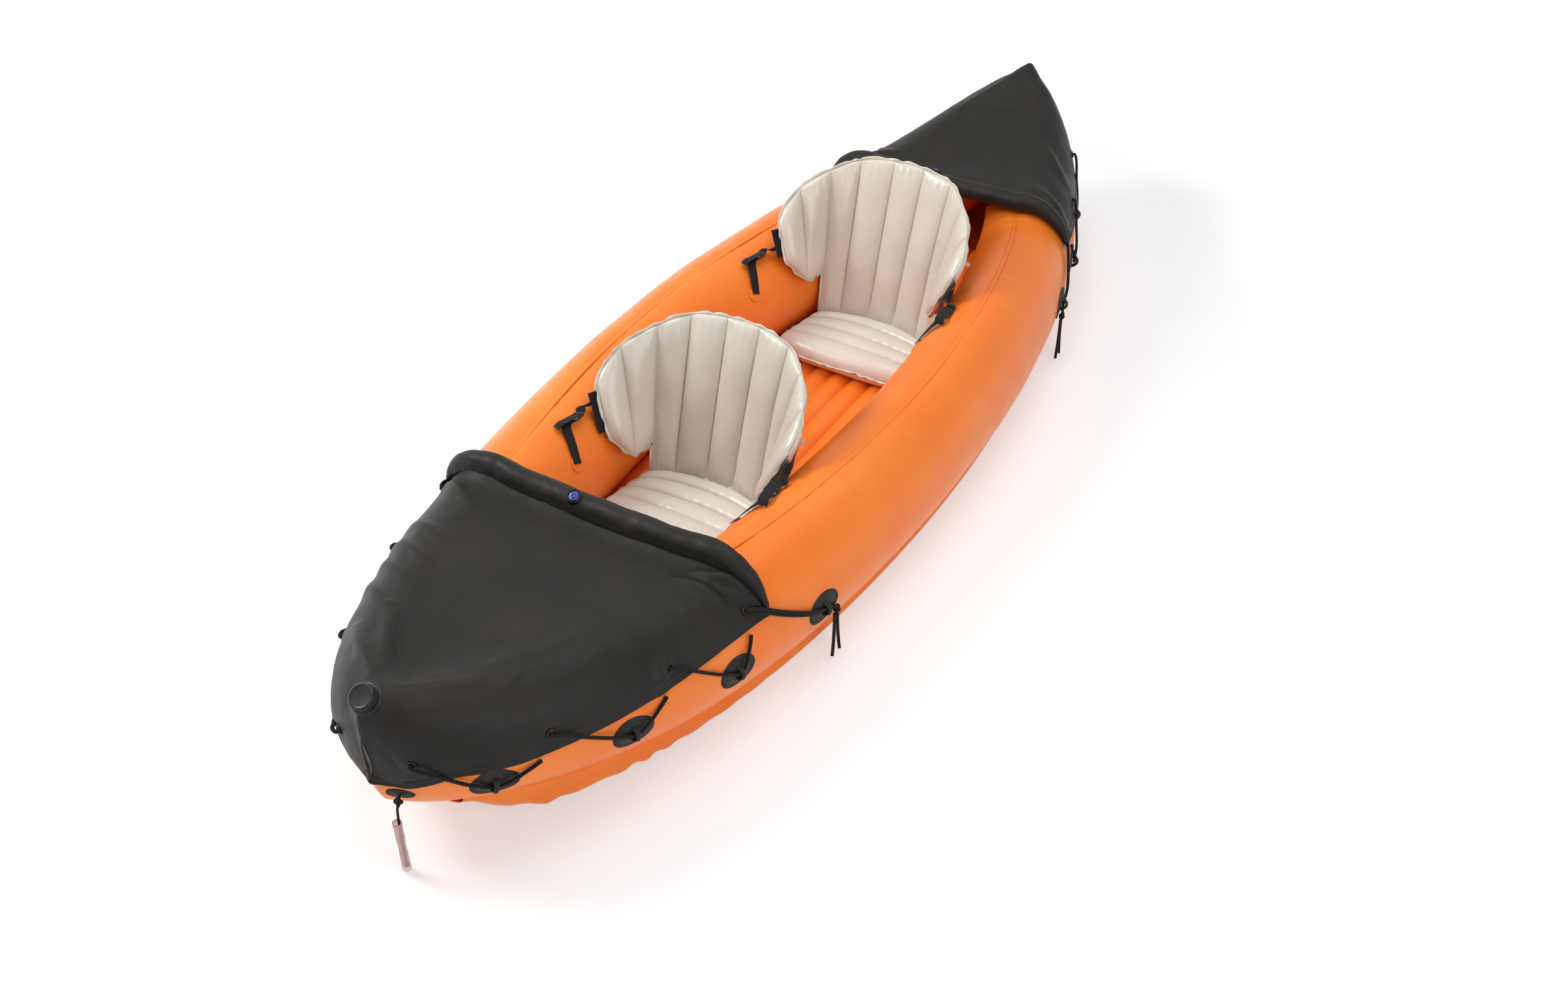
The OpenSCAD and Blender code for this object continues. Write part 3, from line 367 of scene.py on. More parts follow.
# Moulded rubber or plastic: near black, dusty in spots of 22 mm, with a light spark-eroded texture
def moulded(name, dark, light, rough, textureMm):
    material, tree, where = startMaterial(name, "Object")
    dust = addNode(tree, "TexNoise", {"Vector": where, "Scale": 45.0, "Detail": 6.0, "Roughness": 0.6})
    tone = addNode(tree, "ValToRGB", {"Fac": dust.outputs["Fac"]}, ((0.35, dark), (0.7, light)))
    gloss = addNode(tree, "MapRange", {"Value": dust.outputs["Fac"], "From Min": 0.3, "From Max": 0.7,
                                       "To Min": rough[0], "To Max": rough[1]})
    pits = addNode(tree, "TexNoise", {"Vector": where, "Scale": 1000 / textureMm, "Detail": 3.0})
    pitted = addNode(tree, "Bump", {"Height": pits.outputs["Fac"], "Strength": 0.4, "Distance": 0.0003})
    setShader(tree, Base_Color=tone.outputs["Color"], Roughness=gloss.outputs["Result"],
              Normal=pitted.outputs["Normal"], IOR=1.5, Specular_IOR_Level=0.3)
    return material


# Polyester yarn: fine fibres along each strand, read from the strand's own UV
def yarn(name, dark, light, fibreMm):
    material, tree, where = startMaterial(name, "UV")
    stretch = addNode(tree, "Mapping", {"Vector": where, "Scale": (14.0, 1000 / fibreMm, 1.0)})
    fibre = addNode(tree, "TexNoise", {"Vector": stretch.outputs["Vector"], "Scale": 1.0, "Detail": 3.0})
    tone = addNode(tree, "ValToRGB", {"Fac": fibre.outputs["Fac"]}, ((0.0, dark), (1.0, light)))
    fuzz = addNode(tree, "Bump", {"Height": fibre.outputs["Fac"], "Strength": 0.6, "Distance": 0.0004})
    setShader(tree, Base_Color=tone.outputs["Color"], Roughness=0.8, Normal=fuzz.outputs["Normal"],
              Sheen_Weight=0.06, Specular_IOR_Level=0.2)
    return material


# Woven polypropylene webbing: slanted bands of thread, read from the band's own UV in metres
def woven(name, dark, light, threadMm):
    material, tree, where = startMaterial(name, "UV")
    warp = addNode(tree, "Mapping", {"Vector": where, "Rotation": (0, 0, 0.6)})
    wave = addNode(tree, "TexWave", {"Vector": warp.outputs["Vector"], "Scale": 1000 / threadMm / (2 * np.pi),
                                     "Distortion": 0.4, "Detail": 1.0}, wave_type="BANDS")
    tone = addNode(tree, "ValToRGB", {"Fac": wave.outputs["Fac"]}, ((0.0, dark), (1.0, light)))
    weave = addNode(tree, "Bump", {"Height": wave.outputs["Fac"], "Strength": 0.7, "Distance": 0.0005})
    setShader(tree, Base_Color=tone.outputs["Color"], Roughness=0.75, Normal=weave.outputs["Normal"],
              Sheen_Weight=0.05, Specular_IOR_Level=0.2)
    return material


# Clear plastics: light passes through, with a faint haze in clouds of 11 mm
def clearPlastic(name, tint, rough, clear, haze):
    material, tree, where = startMaterial(name, "Object")
    cloud = addNode(tree, "TexNoise", {"Vector": where, "Scale": 90.0, "Detail": 4.0})
    gloss = addNode(tree, "MapRange", {"Value": cloud.outputs["Fac"], "To Min": rough[0], "To Max": rough[1]})
    wavy = addNode(tree, "Bump", {"Height": cloud.outputs["Fac"], "Strength": haze, "Distance": 0.0006})
    setShader(tree, Base_Color=toLinear(tint), Roughness=gloss.outputs["Result"],
              Normal=wavy.outputs["Normal"], Transmission_Weight=clear, IOR=1.45)
    return material


# The finish of each slot; grains of 1 mm and threads of 0.8 mm don't show in the render, so they are coarser
finish = {
    "hull_vinyl": vinyl("calendered orange vinyl", "#F47923", "#F7852D", rough=(0.32, 0.42), specular=0.32,
                        grainMm=3.0, grainDepth=0.00010, rippleMm=60.0, rippleDepth=0.0010),
    "cover_vinyl": vinyl("satin charcoal vinyl", "#23211E", "#2A2724", rough=(0.42, 0.52), specular=0.13,
                         grainMm=3.5, grainDepth=0.00016, rippleMm=45.0, rippleDepth=0.0014),
    "seat_vinyl": vinyl("soft warm grey vinyl", "#CDC8BB", "#D5D0C5", rough=(0.20, 0.28), specular=0.5,
                        grainMm=3.0, grainDepth=0.00006, rippleMm=40.0, rippleDepth=0.0008),
    "black_rubber": moulded("moulded black rubber", "#141312", "#211F1D", rough=(0.48, 0.62), textureMm=1.2),
    "black_plastic": moulded("moulded black plastic", "#121212", "#1C1B1A", rough=(0.30, 0.42),
                             textureMm=0.9),
    "black_cord": yarn("laid black polyester cord", "#0D0C0B", "#23211E", fibreMm=9.0),
    "webbing": woven("woven black webbing", "#0F0E0D", "#201E1C", threadMm=2.4),
    "clear_vinyl": clearPlastic("clear pinkish vinyl", "#EBD3D0", rough=(0.12, 0.3), clear=0.75, haze=0.5),
    "plug_plastic": clearPlastic("clear blue plastic", "#4A5FB8", rough=(0.08, 0.2), clear=0.45, haze=0.3)}
print("materials made")


# Camera at the photograph's place
view = {"place": (1.819, -3.0509, 2.720), "tilt": 51.254, "roll": 0.08, "turn": 30.530,
        "focalPixels": 2514.8, "imageWidth": 2408, "sensor": 36.0, "farthest": 60.0}

camData = bpy.data.cameras.new("camera")
camData.sensor_width = view["sensor"]
camData.lens = view["focalPixels"] / view["imageWidth"] * view["sensor"]
camData.clip_end = view["farthest"]
camera = bpy.data.objects.new("camera", camData)
camera.location = view["place"]
camera.rotation_euler = tuple(math.radians(view[k]) for k in ("tilt", "roll", "turn"))
bpy.context.scene.collection.objects.link(camera)
bpy.context.scene.camera = camera


# The hull's form: lon runs from -90 at the bow to 90 at the stern, ang round a chamber from 0 on the outside
hull = {"halfLength": 1.580, "halfBeam": 0.535, "chamberRadius": 0.148, "chamberHeight": 0.350,
        "endDrop": 0.050, "flatHalf": 0.550, "bowRise": 0.140, "sternRise": 0.250, "sternPower": 3.5,
        "sternPoint": 1.06, "panelThick": 0.003, "gap": 0.0009, "noseGap": 0.001, "innerLimit": 176.0}


def keelHeight(y):  # a parabola rises from the flat middle to the bow, a later and steeper curve to the stern
    past = np.maximum(0, np.abs(y) - hull["flatHalf"]) / (hull["halfLength"] - hull["flatHalf"])
    return np.where(np.asarray(y) < 0, hull["bowRise"] * past ** 2,
                    hull["sternRise"] * past ** hull["sternPower"])


def planForm(lon):  # an oval plan, a little more pointed at the stern
    return np.maximum(cosD(lon), 0) ** np.where(np.asarray(lon) > 0, hull["sternPoint"], 1)


def halfHeight(lon):
    return (hull["chamberHeight"] - hull["endDrop"] * np.abs(sinD(lon)) ** 3) / 2


def midHeight(lon):
    return hull["panelThick"] + hull["gap"] + keelHeight(hull["halfLength"] * sinD(lon)) + halfHeight(lon)


def midSide(lon, off=0.0):
    return (hull["halfBeam"] + off) * planForm(lon) - (hull["chamberRadius"] + off)


# A point of the port chamber's skin: an ellipse carried round an oval plan
def hullPoint(lon, ang, off=0.0):
    lon, ang, off = np.broadcast_arrays(np.asarray(lon, float), ang, off)
    return np.stack([midSide(lon, off) + (hull["chamberRadius"] + off) * cosD(ang),
                     (hull["halfLength"] + off) * sinD(lon),
                     midHeight(lon) + (halfHeight(lon) + off) * sinD(ang)], -1)


def hullWays(lon, ang):  # how far the point moves for one degree of lon, and for one of ang
    return (hullPoint(np.add(lon, 0.5), ang) - hullPoint(np.subtract(lon, 0.5), ang),
            hullPoint(lon, np.add(ang, 0.5)) - hullPoint(lon, np.subtract(ang, 0.5)))


def hullNormal(lon, ang):
    return unit(np.cross(*hullWays(lon, ang)))


def aboveHull(lon, ang, off):
    return hullPoint(lon, ang) + np.asarray(off)[..., None] * hullNormal(lon, ang)


def lonAt(y):
    return np.degrees(np.arcsin(np.clip(np.asarray(y) / hull["halfLength"], -1, 1)))


def innerAngle(lon, off=0.0):  # where a chamber meets the other one's plane
    share = (hull["noseGap"] / 2 - midSide(lon, off)) / (hull["chamberRadius"] + off)
    return np.degrees(np.arccos(np.clip(share, cosD(hull["innerLimit"]), 1)))


# Lacing cords come before the rest, because their routes are settled in the frame
covers = {"bowEdge": 0.800, "sternEdge": 0.985, "gap": 0.0035, "thick": 0.002, "hemUp": 0.082,
          "hemFall": 0.108, "hemPower": 1.3, "deckSag": 0.008, "bridgeAngle": 102.0, "noseRound": 20.0,
          "noseCrown": 0.005, "noseDrop": 14.0, "lonEnd": 88.9, "eyelets": (0.06, 0.354, 0.704, 0.97),
          "eyeletRise": 0.040, "eyeletRadius": 0.006}
patch = {"shares": (-0.223, 0.143, 0.495, 0.839), "angle": -3.0, "fall": 24.0, "length": 0.104,
         "height": 0.088, "gap": 0.0008, "middle": 0.004, "rim": 0.0024, "dome": 0.0034, "ribs": 46,
         "loopRadius": 0.016, "loopSpan": (-8, 188), "loopSteps": 34, "loopSquash": 0.95,
         "footSunk": 0.0015, "footFlare": 0.55, "barWidth": 0.0115, "barThick": 0.0062,
         "spineLift": 0.0029, "spineRadius": 0.0016}
lace = {"diameter": 0.009, "steps": 10, "fit": 0.0003, "overLoop": 0.0004, "overPad": 0.0014,
        "overHull": 0.002, "overEyelet": 0.0029, "rest": 5.0, "doubleFore": 0.002, "doubleDrop": 0.0088,
        "knotRise": 0.0094, "knotFore": 1.3, "knotTop": 3.0, "knotMiddle": 6.5, "knotFall": 10.0,
        "knotSize": 0.0095, "knotCord": 0.0078, "tailLength": 0.125, "tailOut": 0.002, "tailApart": 0.022,
        "tailGap": 0.4, "tailStart": 0.4}
skin = covers["gap"] + covers["thick"]
cordRadius = lace["diameter"] / 2
padTop = patch["gap"] + patch["middle"]
laceLoop = padTop + cordRadius + lace["overLoop"]
lacePad = padTop + cordRadius + lace["overPad"]
laceLow = cordRadius + lace["overHull"]
laceSkin = skin + cordRadius + lace["overEyelet"]
knotOff = padTop + lace["knotRise"]


def edgeOf(end):
    return covers["bowEdge"] if end < 0 else covers["sternEdge"]


def alongCover(end, share):
    return end * lonAt(mix(edgeOf(end), hull["halfLength"], share))


def coverShare(end, lon):  # from 0 at a cover's cockpit edge to 1 at its nose
    past = hull["halfLength"] * np.abs(sinD(lon)) - edgeOf(end)
    return np.clip(past / (hull["halfLength"] - edgeOf(end)), 0, 1)


def hemAngle(end, lon, off=0.0):
    rise = covers["hemUp"] - covers["hemFall"] * coverShare(end, lon) ** covers["hemPower"]
    return np.degrees(np.arcsin(np.clip(rise / (halfHeight(lon) + off), -0.7, 0.8)))


def eyeletSpot(end, k):
    lon = alongCover(end, covers["eyelets"][k])
    return lon, hemAngle(end, lon) + np.degrees(np.arcsin(covers["eyeletRise"] / halfHeight(lon)))


def patchSpot(end, k):
    share = patch["shares"][k]
    return alongCover(end, share), patch["angle"] - patch["fall"] * max(0, share) ** 2


# Stops of one lace as lon, ang and height: out of its eyelet, through its loop, and back to the hem or a knot
def laceStops(end, k):
    lon, ang = eyeletSpot(end, k)
    to, down = patchSpot(end, k)
    inHole = covers["eyeletRadius"] - cordRadius - lace["fit"]
    sunk = ang - np.degrees(np.arcsin(inHole / halfHeight(lon)))
    stops = [[lon, sunk, covers["gap"] + covers["thick"] / 2], [lon, sunk, laceSkin + 0.001],
             [mix(lon, to, 0.15), mix(ang, down, 0.12), laceSkin + 0.002],
             [mix(lon, to, 0.4), mix(ang, down, 0.42), laceLow + 0.003],
             [mix(lon, to, 0.72), mix(ang, down, 0.76), lacePad], [to, down, laceLoop]]
    if k > 0:
        last = mix(to, eyeletSpot(end, k - 1)[0], 0.75)
        lastAng = hemAngle(end, last) - lace["rest"]
        stops += [[mix(to, last, 0.35), mix(down, lastAng, 0.3), lacePad],
                  [mix(to, last, 0.8), mix(down, lastAng, 0.75), laceLow], [last, lastAng, laceLow]]
    else:
        fall = np.linspace(lace["knotTop"], lace["knotFall"], 4)
        stops += [[to - end * lace["knotFore"], down - f, knotOff] for f in fall]
    return np.array(stops)


def lacePath(end, k, side):
    lon, ang, off = laceStops(end, k).T
    return through(mirrored(aboveHull(lon, ang, off), side), lace["steps"])


# The cockpit lace's second run, slack below the first from the eyelet to the loop, and the knot that ties it
def tiedParts(end, side, path):
    out = path[4:46]
    slack = np.sin(np.linspace(0.3, 2.9, len(out)))[:, None] ** 0.7
    doubled = out + np.array([0, lace["doubleFore"] * end, -lace["doubleDrop"]]) * slack
    lon, ang = patchSpot(end, 0)
    centre = aboveHull(lon - end * lace["knotFore"], ang - lace["knotMiddle"], knotOff)
    knot = knotPath(mirrored(centre, side), lace["knotSize"], (0, 1, 0.3), (0, -0.3, 1))
    return cordParts(doubled, lace["diameter"]) + cordParts(knot, lace["knotCord"])


for end, side in corners:
    parts = []
    for k in range(len(patch["shares"])):
        path = lacePath(end, k, side)
        parts += cordParts(path, lace["diameter"])
        if k == 0:
            parts += tiedParts(end, side, path)
    makePiece(sideNames[side] + "Lacing." + endNames[end], parts, "black_cord", "hull",
              sideNames[side] + "_" + endNames[end] + "_lacing")


def tailPath(end, way):  # nearly straight down from the knot, the two tails drifting apart
    lon, ang = patchSpot(end, 0)
    start = aboveHull(lon - end * lace["knotFore"] + way * lace["tailStart"],
                      ang - lace["knotFall"] - lace["tailGap"], knotOff)
    f = np.linspace(0, 1, 40)
    fall = [lace["tailOut"] * f, way * lace["tailApart"] * f * f, -lace["tailLength"] * f]
    return start + np.stack(fall, 1)


for end, endName in endNames.items():
    for way, wayName in ((-0.5, "Fore"), (0.5, "Aft")):
        path = tailPath(end, way)
        tail = makePiece(endName + "LaceTail" + wayName, cordParts(path, lace["diameter"]), "black_cord",
                         "hull", "port_" + endName + "_lace_tails")

# Grab line: a cord that hangs from a pad under the nose, knotted at both ends, in a clear wavy sleeve
grab = {"diameter": 0.006, "lon": -82.0, "angle": -35.0, "length": 0.060, "height": 0.040, "rim": 0.0022,
        "dome": 0.0026, "ribs": 24, "sleeveRadius": 0.010, "sleeveWall": 0.0012, "sleeveLow": 0.008,
        "sleeveTop": 0.150, "sleeveLean": -0.0011, "sleeveSlack": 0.0008,
        "route": [[0.0495, -1.5695, 0.2025], [0.053, -1.579, 0.199], [0.055, -1.587, 0.184],
                  [0.055, -1.590, 0.160], [0.055, -1.592, 0.120], [0.055, -1.594, 0.070],
                  [0.055, -1.595, 0.014]],
        "topKnot": {"centre": (0.0535, -1.5795, 0.1945), "size": 0.0085, "axisA": (1, 0, 0.3),
                    "axisB": (0, 0.4, 1)},
        "endKnot": {"centre": (0.055, -1.5945, 0.0165), "size": 0.0045, "axisA": (1, 0, 0),
                    "axisB": (0, 1, 0.4)},
        "topKnotCord": 0.006, "endKnotCord": 0.0045}

grabPath = through(grab["route"], steps=10)
sleeveFoot = np.array([grab["route"][-1][0], grab["route"][-1][1] + grab["sleeveLean"], 0.0])
sleeveHeights = np.linspace(grab["sleeveLow"], grab["sleeveTop"], 40)
wobble = 0.0004 * np.sin(sleeveHeights * 140) + 0.0005 * np.sin(sleeveHeights * 53 + 1)  # over 45 and 119 mm
outside = np.stack([grab["sleeveRadius"] - grab["sleeveSlack"] + wobble, sleeveHeights], 1)
inside = outside - [grab["sleeveWall"], 0]
sleeveWall = lathePart(np.vstack([outside, inside[::-1], outside[:1]]), sleeveFoot, (0, 0, 1), sides=40)
sleeve = makePiece("grabSleeve", [sleeveWall], "clear_vinyl", "hull", "bow_grab_sleeve", weld=True)
grabKnots = cordParts(knotPath(**grab["topKnot"]), grab["topKnotCord"])
grabKnots += cordParts(knotPath(**grab["endKnot"]), grab["endKnotCord"])
grabKnot = makePiece("grabKnots", grabKnots, "black_cord", "hull")
grabCord = makePiece("grabCord", cordParts(grabPath, grab["diameter"]), "black_cord", "hull", "bow_grab_cord")
print("cords laid")


# Side chambers: the hull's form with a pinched seam, small puckers beside it and slow swells
chamber = {"rows": 520, "cols": 200, "lonEnd": 88.4, "endSmooth": 10.0, "seamAngle": 86.0, "seamTurn": 43.0,
           "pinch": 0.0042, "pinchWidth": 0.013, "pucker": 0.0008, "puckerLength": 0.052,
           "puckerReach": 0.045, "swell": 0.0016, "small": 0.0005, "underCover": 0.0008,
           "edgeMargin": 0.03, "hemMargin": 4.0}
seamTape = {"rows": 420, "cols": 13, "inset": 0.051, "half": 0.0065, "edge": 0.0006, "crown": 0.0026,
            "sunk": 0.0004}


def seamAngle(lon):
    return chamber["seamAngle"] + chamber["seamTurn"] * sinD(lon) ** 2


def fromSeam(lon, ang):  # distance round the chamber
    return np.radians(ang - seamAngle(lon)) * hull["chamberRadius"]


def seamSink(lon, ang):  # depth of the valley along the seam
    return -chamber["pinch"] * hump(fromSeam(lon, ang), chamber["pinchWidth"])


for side, sideName in sideNames.items():
    lon = np.linspace(-chamber["lonEnd"], chamber["lonEnd"], chamber["rows"])[:, None]
    ang = innerAngle(lon) * np.linspace(-1, 1, chamber["cols"])[None]
    lon = np.broadcast_to(lon, ang.shape)
    points = hullPoint(lon, ang)
    run = hull["halfLength"] * sinD(lon)
    puckers = pleating(run, chamber["puckerLength"], points, drift=3, wavelength=0.4, seed=5)
    puckers *= undulation(points, wavelength=0.3, seed=8) * hump(fromSeam(lon, ang), chamber["puckerReach"])
    height = seamSink(lon, ang) + chamber["pucker"] * puckers
    height += chamber["swell"] * undulation(points, wavelength=0.45, seed=3 + side)
    height += chamber["small"] * undulation(points, wavelength=0.15, seed=12)
    height *= smoothStep(chamber["lonEnd"] - np.abs(lon), 0, chamber["endSmooth"])
    for end in endNames:  # nothing swells under a cover
        over = end * run > edgeOf(end) - chamber["edgeMargin"]
        over &= ang > hemAngle(end, lon) - chamber["hemMargin"]
        height = np.where(over, np.minimum(height, 0) - chamber["underCover"], height)
    skinPoints = mirrored(aboveHull(lon, ang, height), side)
    makePiece(sideName + "Chamber", [gridPart(skinPoints, loopCols=True, caps=True)], "hull_vinyl", "hull",
              sideName + "_side_chamber")

    # the welded tape on the seam: a low rounded strip in the valley
    first, last = (end * lonAt(edgeOf(end) - seamTape["inset"]) for end in endNames)
    lon = np.linspace(first, last, seamTape["rows"])[:, None]
    across = np.linspace(-1, 1, seamTape["cols"])
    lift = np.append(seamTape["edge"] + seamTape["crown"] * (1 - across ** 4), [-seamTape["sunk"]] * 3)
    across = np.append(across, [1, 0, -1])
    ang = seamAngle(lon) + np.degrees(seamTape["half"] / hull["chamberRadius"]) * across[None]
    lon = np.broadcast_to(lon, ang.shape)
    strip = mirrored(aboveHull(lon, ang, seamSink(lon, ang) + lift[None]), side)
    makePiece(sideName + "SeamTape", [gridPart(strip, loopCols=True, caps=True)], "hull_vinyl", "hull",
              sideName + "_seam_tape")
print("side chambers made")

# Floor: a mat of tubes along the boat, each a rounded ridge between two welds
floor = {"halfLength": 1.150, "height": 0.062, "ridge": 0.014, "ridges": 9, "steps": 18, "gap": 0.0024,
         "lift": 0.0034, "rows": 260, "endRound": 0.05, "endShare": 0.35, "swell": 0.0012}
lowEdge = floor["height"] - floor["ridge"]
y = np.linspace(-1, 1, floor["rows"])
y = floor["halfLength"] * np.sign(y) * np.abs(y) ** 0.8  # closer rows near the ends
lon = lonAt(y)
sunk = np.clip((lowEdge - halfHeight(lon)) / halfHeight(lon), -1, 0)
halfWidth = midSide(lon) - hull["chamberRadius"] * np.sqrt(1 - sunk ** 2) - floor["gap"]
tubes = np.linspace(0, floor["ridges"], floor["ridges"] * floor["steps"] + 1)
crown = np.abs(np.sin(np.pi * tubes)) ** 0.75
ending = np.sqrt(1 - np.clip(1 - (floor["halfLength"] - np.abs(y)) / floor["endRound"], 0, 1) ** 2)[:, None]
x = halfWidth[:, None] * (1 - 2 * tubes[None] / floor["ridges"])
bed = (floor["lift"] + keelHeight(y))[:, None]
rise = lowEdge * mix(floor["endShare"], 1, ending) + floor["ridge"] * crown[None] * ending
top = np.stack([x, np.broadcast_to(y[:, None], x.shape), bed + rise], -1)
top[..., 2] += floor["swell"] * undulation(top, wavelength=0.22, seed=21) * crown * ending
under = top[:, ::-floor["steps"]].copy()
under[..., 2] = bed
makePiece("floorMat", [gridPart(np.concatenate([top, under], 1), loopCols=True, caps=True)], "hull_vinyl",
          "hull", "floor_chamber")

# Bottom skin: flat amidships, slack under the rising ends, curled up to a weld on each chamber's underside
bottom = {"halfLength": 1.480, "lonEnd": 89.5, "inset": 0.075, "sagShare": 0.62, "rows": 420, "flat": 60,
          "flatShare": 0.9, "curl": 30, "thick": 0.0022, "weldAngle": -52.0, "weldSunk": 0.0012,
          "bulge": 0.034, "droop": 0.012, "closing": 0.16, "endNarrow": 0.8, "endLift": 0.002,
          "offFloor": 0.0005, "lowest": 0.0004, "slackRise": 0.03, "fold": 0.0065, "foldLength": 0.075,
          "foldWay": (0.55, 0, -0.8)}
y = bottom["halfLength"] * sinD(np.linspace(-bottom["lonEnd"], bottom["lonEnd"], bottom["rows"]))[:, None]
lon = lonAt(y)
shut = smoothStep(np.abs(y), bottom["halfLength"] - bottom["closing"], bottom["halfLength"])
halfWidth = (hull["halfBeam"] * planForm(lon) - bottom["inset"]) * np.sqrt(1 - bottom["endNarrow"] * shut)
low = mix(bottom["sagShare"] * keelHeight(y), keelHeight(y) + bottom["endLift"], shut ** 2)
low = low + bottom["offFloor"]
flatX = halfWidth * np.linspace(0, bottom["flatShare"], bottom["flat"])[None]
f = np.linspace(0, 1, bottom["curl"] + 1)[None, 1:]
weldPoint = hullPoint(lon, bottom["weldAngle"], -bottom["weldSunk"])
bulgeX = np.maximum(weldPoint[..., 0], halfWidth) + bottom["bulge"] * (1 - shut)
bulgeZ = np.maximum(low - bottom["droop"] * (1 - shut), 2 * bottom["lowest"])
curlX = bend(bottom["flatShare"] * halfWidth, bulgeX, weldPoint[..., 0], f)
curlZ = bend(low, bulgeZ, weldPoint[..., 2], f)
halfX = np.concatenate([flatX, curlX], 1)
halfZ = np.concatenate([np.broadcast_to(low, flatX.shape), curlZ], 1)
half = np.stack([halfX, np.broadcast_to(y, halfX.shape), halfZ], -1)
loose = np.concatenate([smoothStep(flatX / halfWidth, 0.6, bottom["flatShare"]),
                        np.broadcast_to(np.cos(np.pi / 2 * f), curlX.shape)], 1)
loose = loose * np.clip(keelHeight(y) / bottom["slackRise"], 0, 1)
sheets = []
for side in sideNames:
    folds = pleating(y, bottom["foldLength"], half, drift=2.5, wavelength=0.3, seed=31 + side)
    folds *= 0.6 + 0.4 * undulation(half, wavelength=0.2, seed=33)
    moved = half + (bottom["fold"] * loose * folds)[..., None] * np.array(bottom["foldWay"])
    sheets.append(mirrored(moved, side))
sheet = np.concatenate([sheets[0][:, :0:-1], sheets[1]], 1)
sheet[..., 2] = np.maximum(sheet[..., 2], bottom["lowest"])
bottomSkin = makePiece("bottomSkin", [gridPart(sheet, toward=(0, 0, 1))], "hull_vinyl", "hull",
                       "bottom_panel")
thicken(bottomSkin, bottom["thick"], 1)
print("floor and bottom skin made")


# Spray covers: a skin over both chambers from hem to hem, with a deck between them
coverMesh = {"rows": 190, "side": 100, "deck": 46, "smooth": 26, "thick": 0.0016, "hole": 0.0085,
             "hem": 0.020, "hemLift": 0.0014, "hemStep": 0.006, "foldGain": 2.3, "swell": 0.0026,
             "small": 0.0008, "lowest": -0.0012, "noseFrom": 1.50, "noseTo": 1.57,
             "rollFrom": 0.05, "rollTo": 0.14}
coverRidges = {  # height, place and width of each
    "hemBead": (0.0030, 0.004, 0.0045), "hemGroove": (-0.0022, coverMesh["hem"] + 0.003, 0.0035),
    "roll": (0.013, 0.016, 0.026), "nose": (0.006, 0, 0.012), "besideNose": (-0.003, 0.05, 0.02),
    "eyeletRing": (0.0018, 0.0155, 0.003)}
deckFolds = {  # start, end, half width and height of each fold, in plan
    -1: [((0.30, -0.86), (0.44, -0.80), 0.011, 0.0060), ((0.27, -0.90), (0.40, -0.875), 0.012, 0.0042),
         ((0.33, -0.845), (0.42, -0.885), 0.009, -0.0030), ((-0.27, -0.93), (-0.42, -0.84), 0.016, 0.0040),
         ((0.36, -1.06), (0.375, -1.12), 0.010, 0.0040), ((0.20, -1.34), (0.24, -1.27), 0.014, -0.0025),
         ((0.03, -1.50), (0.17, -1.36), 0.018, 0.0032), ((0.02, -1.47), (0.10, -1.28), 0.022, -0.0035),
         ((-0.05, -1.49), (-0.20, -1.38), 0.016, 0.0050), ((-0.04, -1.46), (-0.17, -1.30), 0.018, 0.0042),
         ((-0.19, -1.30), (-0.32, -1.22), 0.018, 0.0050), ((-0.20, -1.22), (-0.34, -1.15), 0.019, 0.0046),
         ((-0.22, -1.14), (-0.37, -1.08), 0.018, 0.0040), ((-0.24, -1.06), (-0.38, -1.01), 0.018, 0.0032)],
    1: [((0.24, 1.10), (0.36, 1.06), 0.014, 0.0045), ((-0.24, 1.10), (-0.36, 1.06), 0.014, 0.0045),
        ((0.04, 1.50), (0.14, 1.36), 0.016, 0.0030), ((-0.04, 1.50), (-0.14, 1.36), 0.016, 0.0030),
        ((0.18, 1.30), (0.28, 1.22), 0.016, 0.0028)]}


def topAngle(lon, off):
    return np.minimum(covers["bridgeAngle"], innerAngle(lon, off) - covers["noseRound"])


# A point of the deck: a parabola from chamber to chamber, sagging, and crowned where the chambers meet
def deckPoint(lon, off, share):
    start = hullPoint(lon, topAngle(lon, off), off)
    nose = hullPoint(lon, innerAngle(lon, off), off)[..., 2] - start[..., 2] + covers["noseCrown"]
    rise = np.maximum(-covers["deckSag"], nose)
    return np.stack(np.broadcast_arrays(start[..., 0] * share, start[..., 1],
                                        start[..., 2] + rise * (1 - share ** 2)), -1)


def foldHeight(points, fold):  # a soft ridge along a line in plan, fading at both ends
    start, stop, width, height = fold
    way = np.subtract(stop, start)
    f = ((points[..., :2] - start) @ way) / (way @ way)
    away = np.linalg.norm(points[..., :2] - start - np.clip(f, 0, 1)[..., None] * way, axis=-1)
    return height * hump(away, width) * (0.35 + 0.65 * np.sin(np.pi * np.clip(f, 0.05, 0.95)))


def eyeletCentres(end):  # on the cover, both sides
    spots = [aboveHull(*eyeletSpot(end, k), skin) for k in range(len(covers["eyelets"]))]
    return [mirrored(spot, side) for spot in spots for side in sideNames]


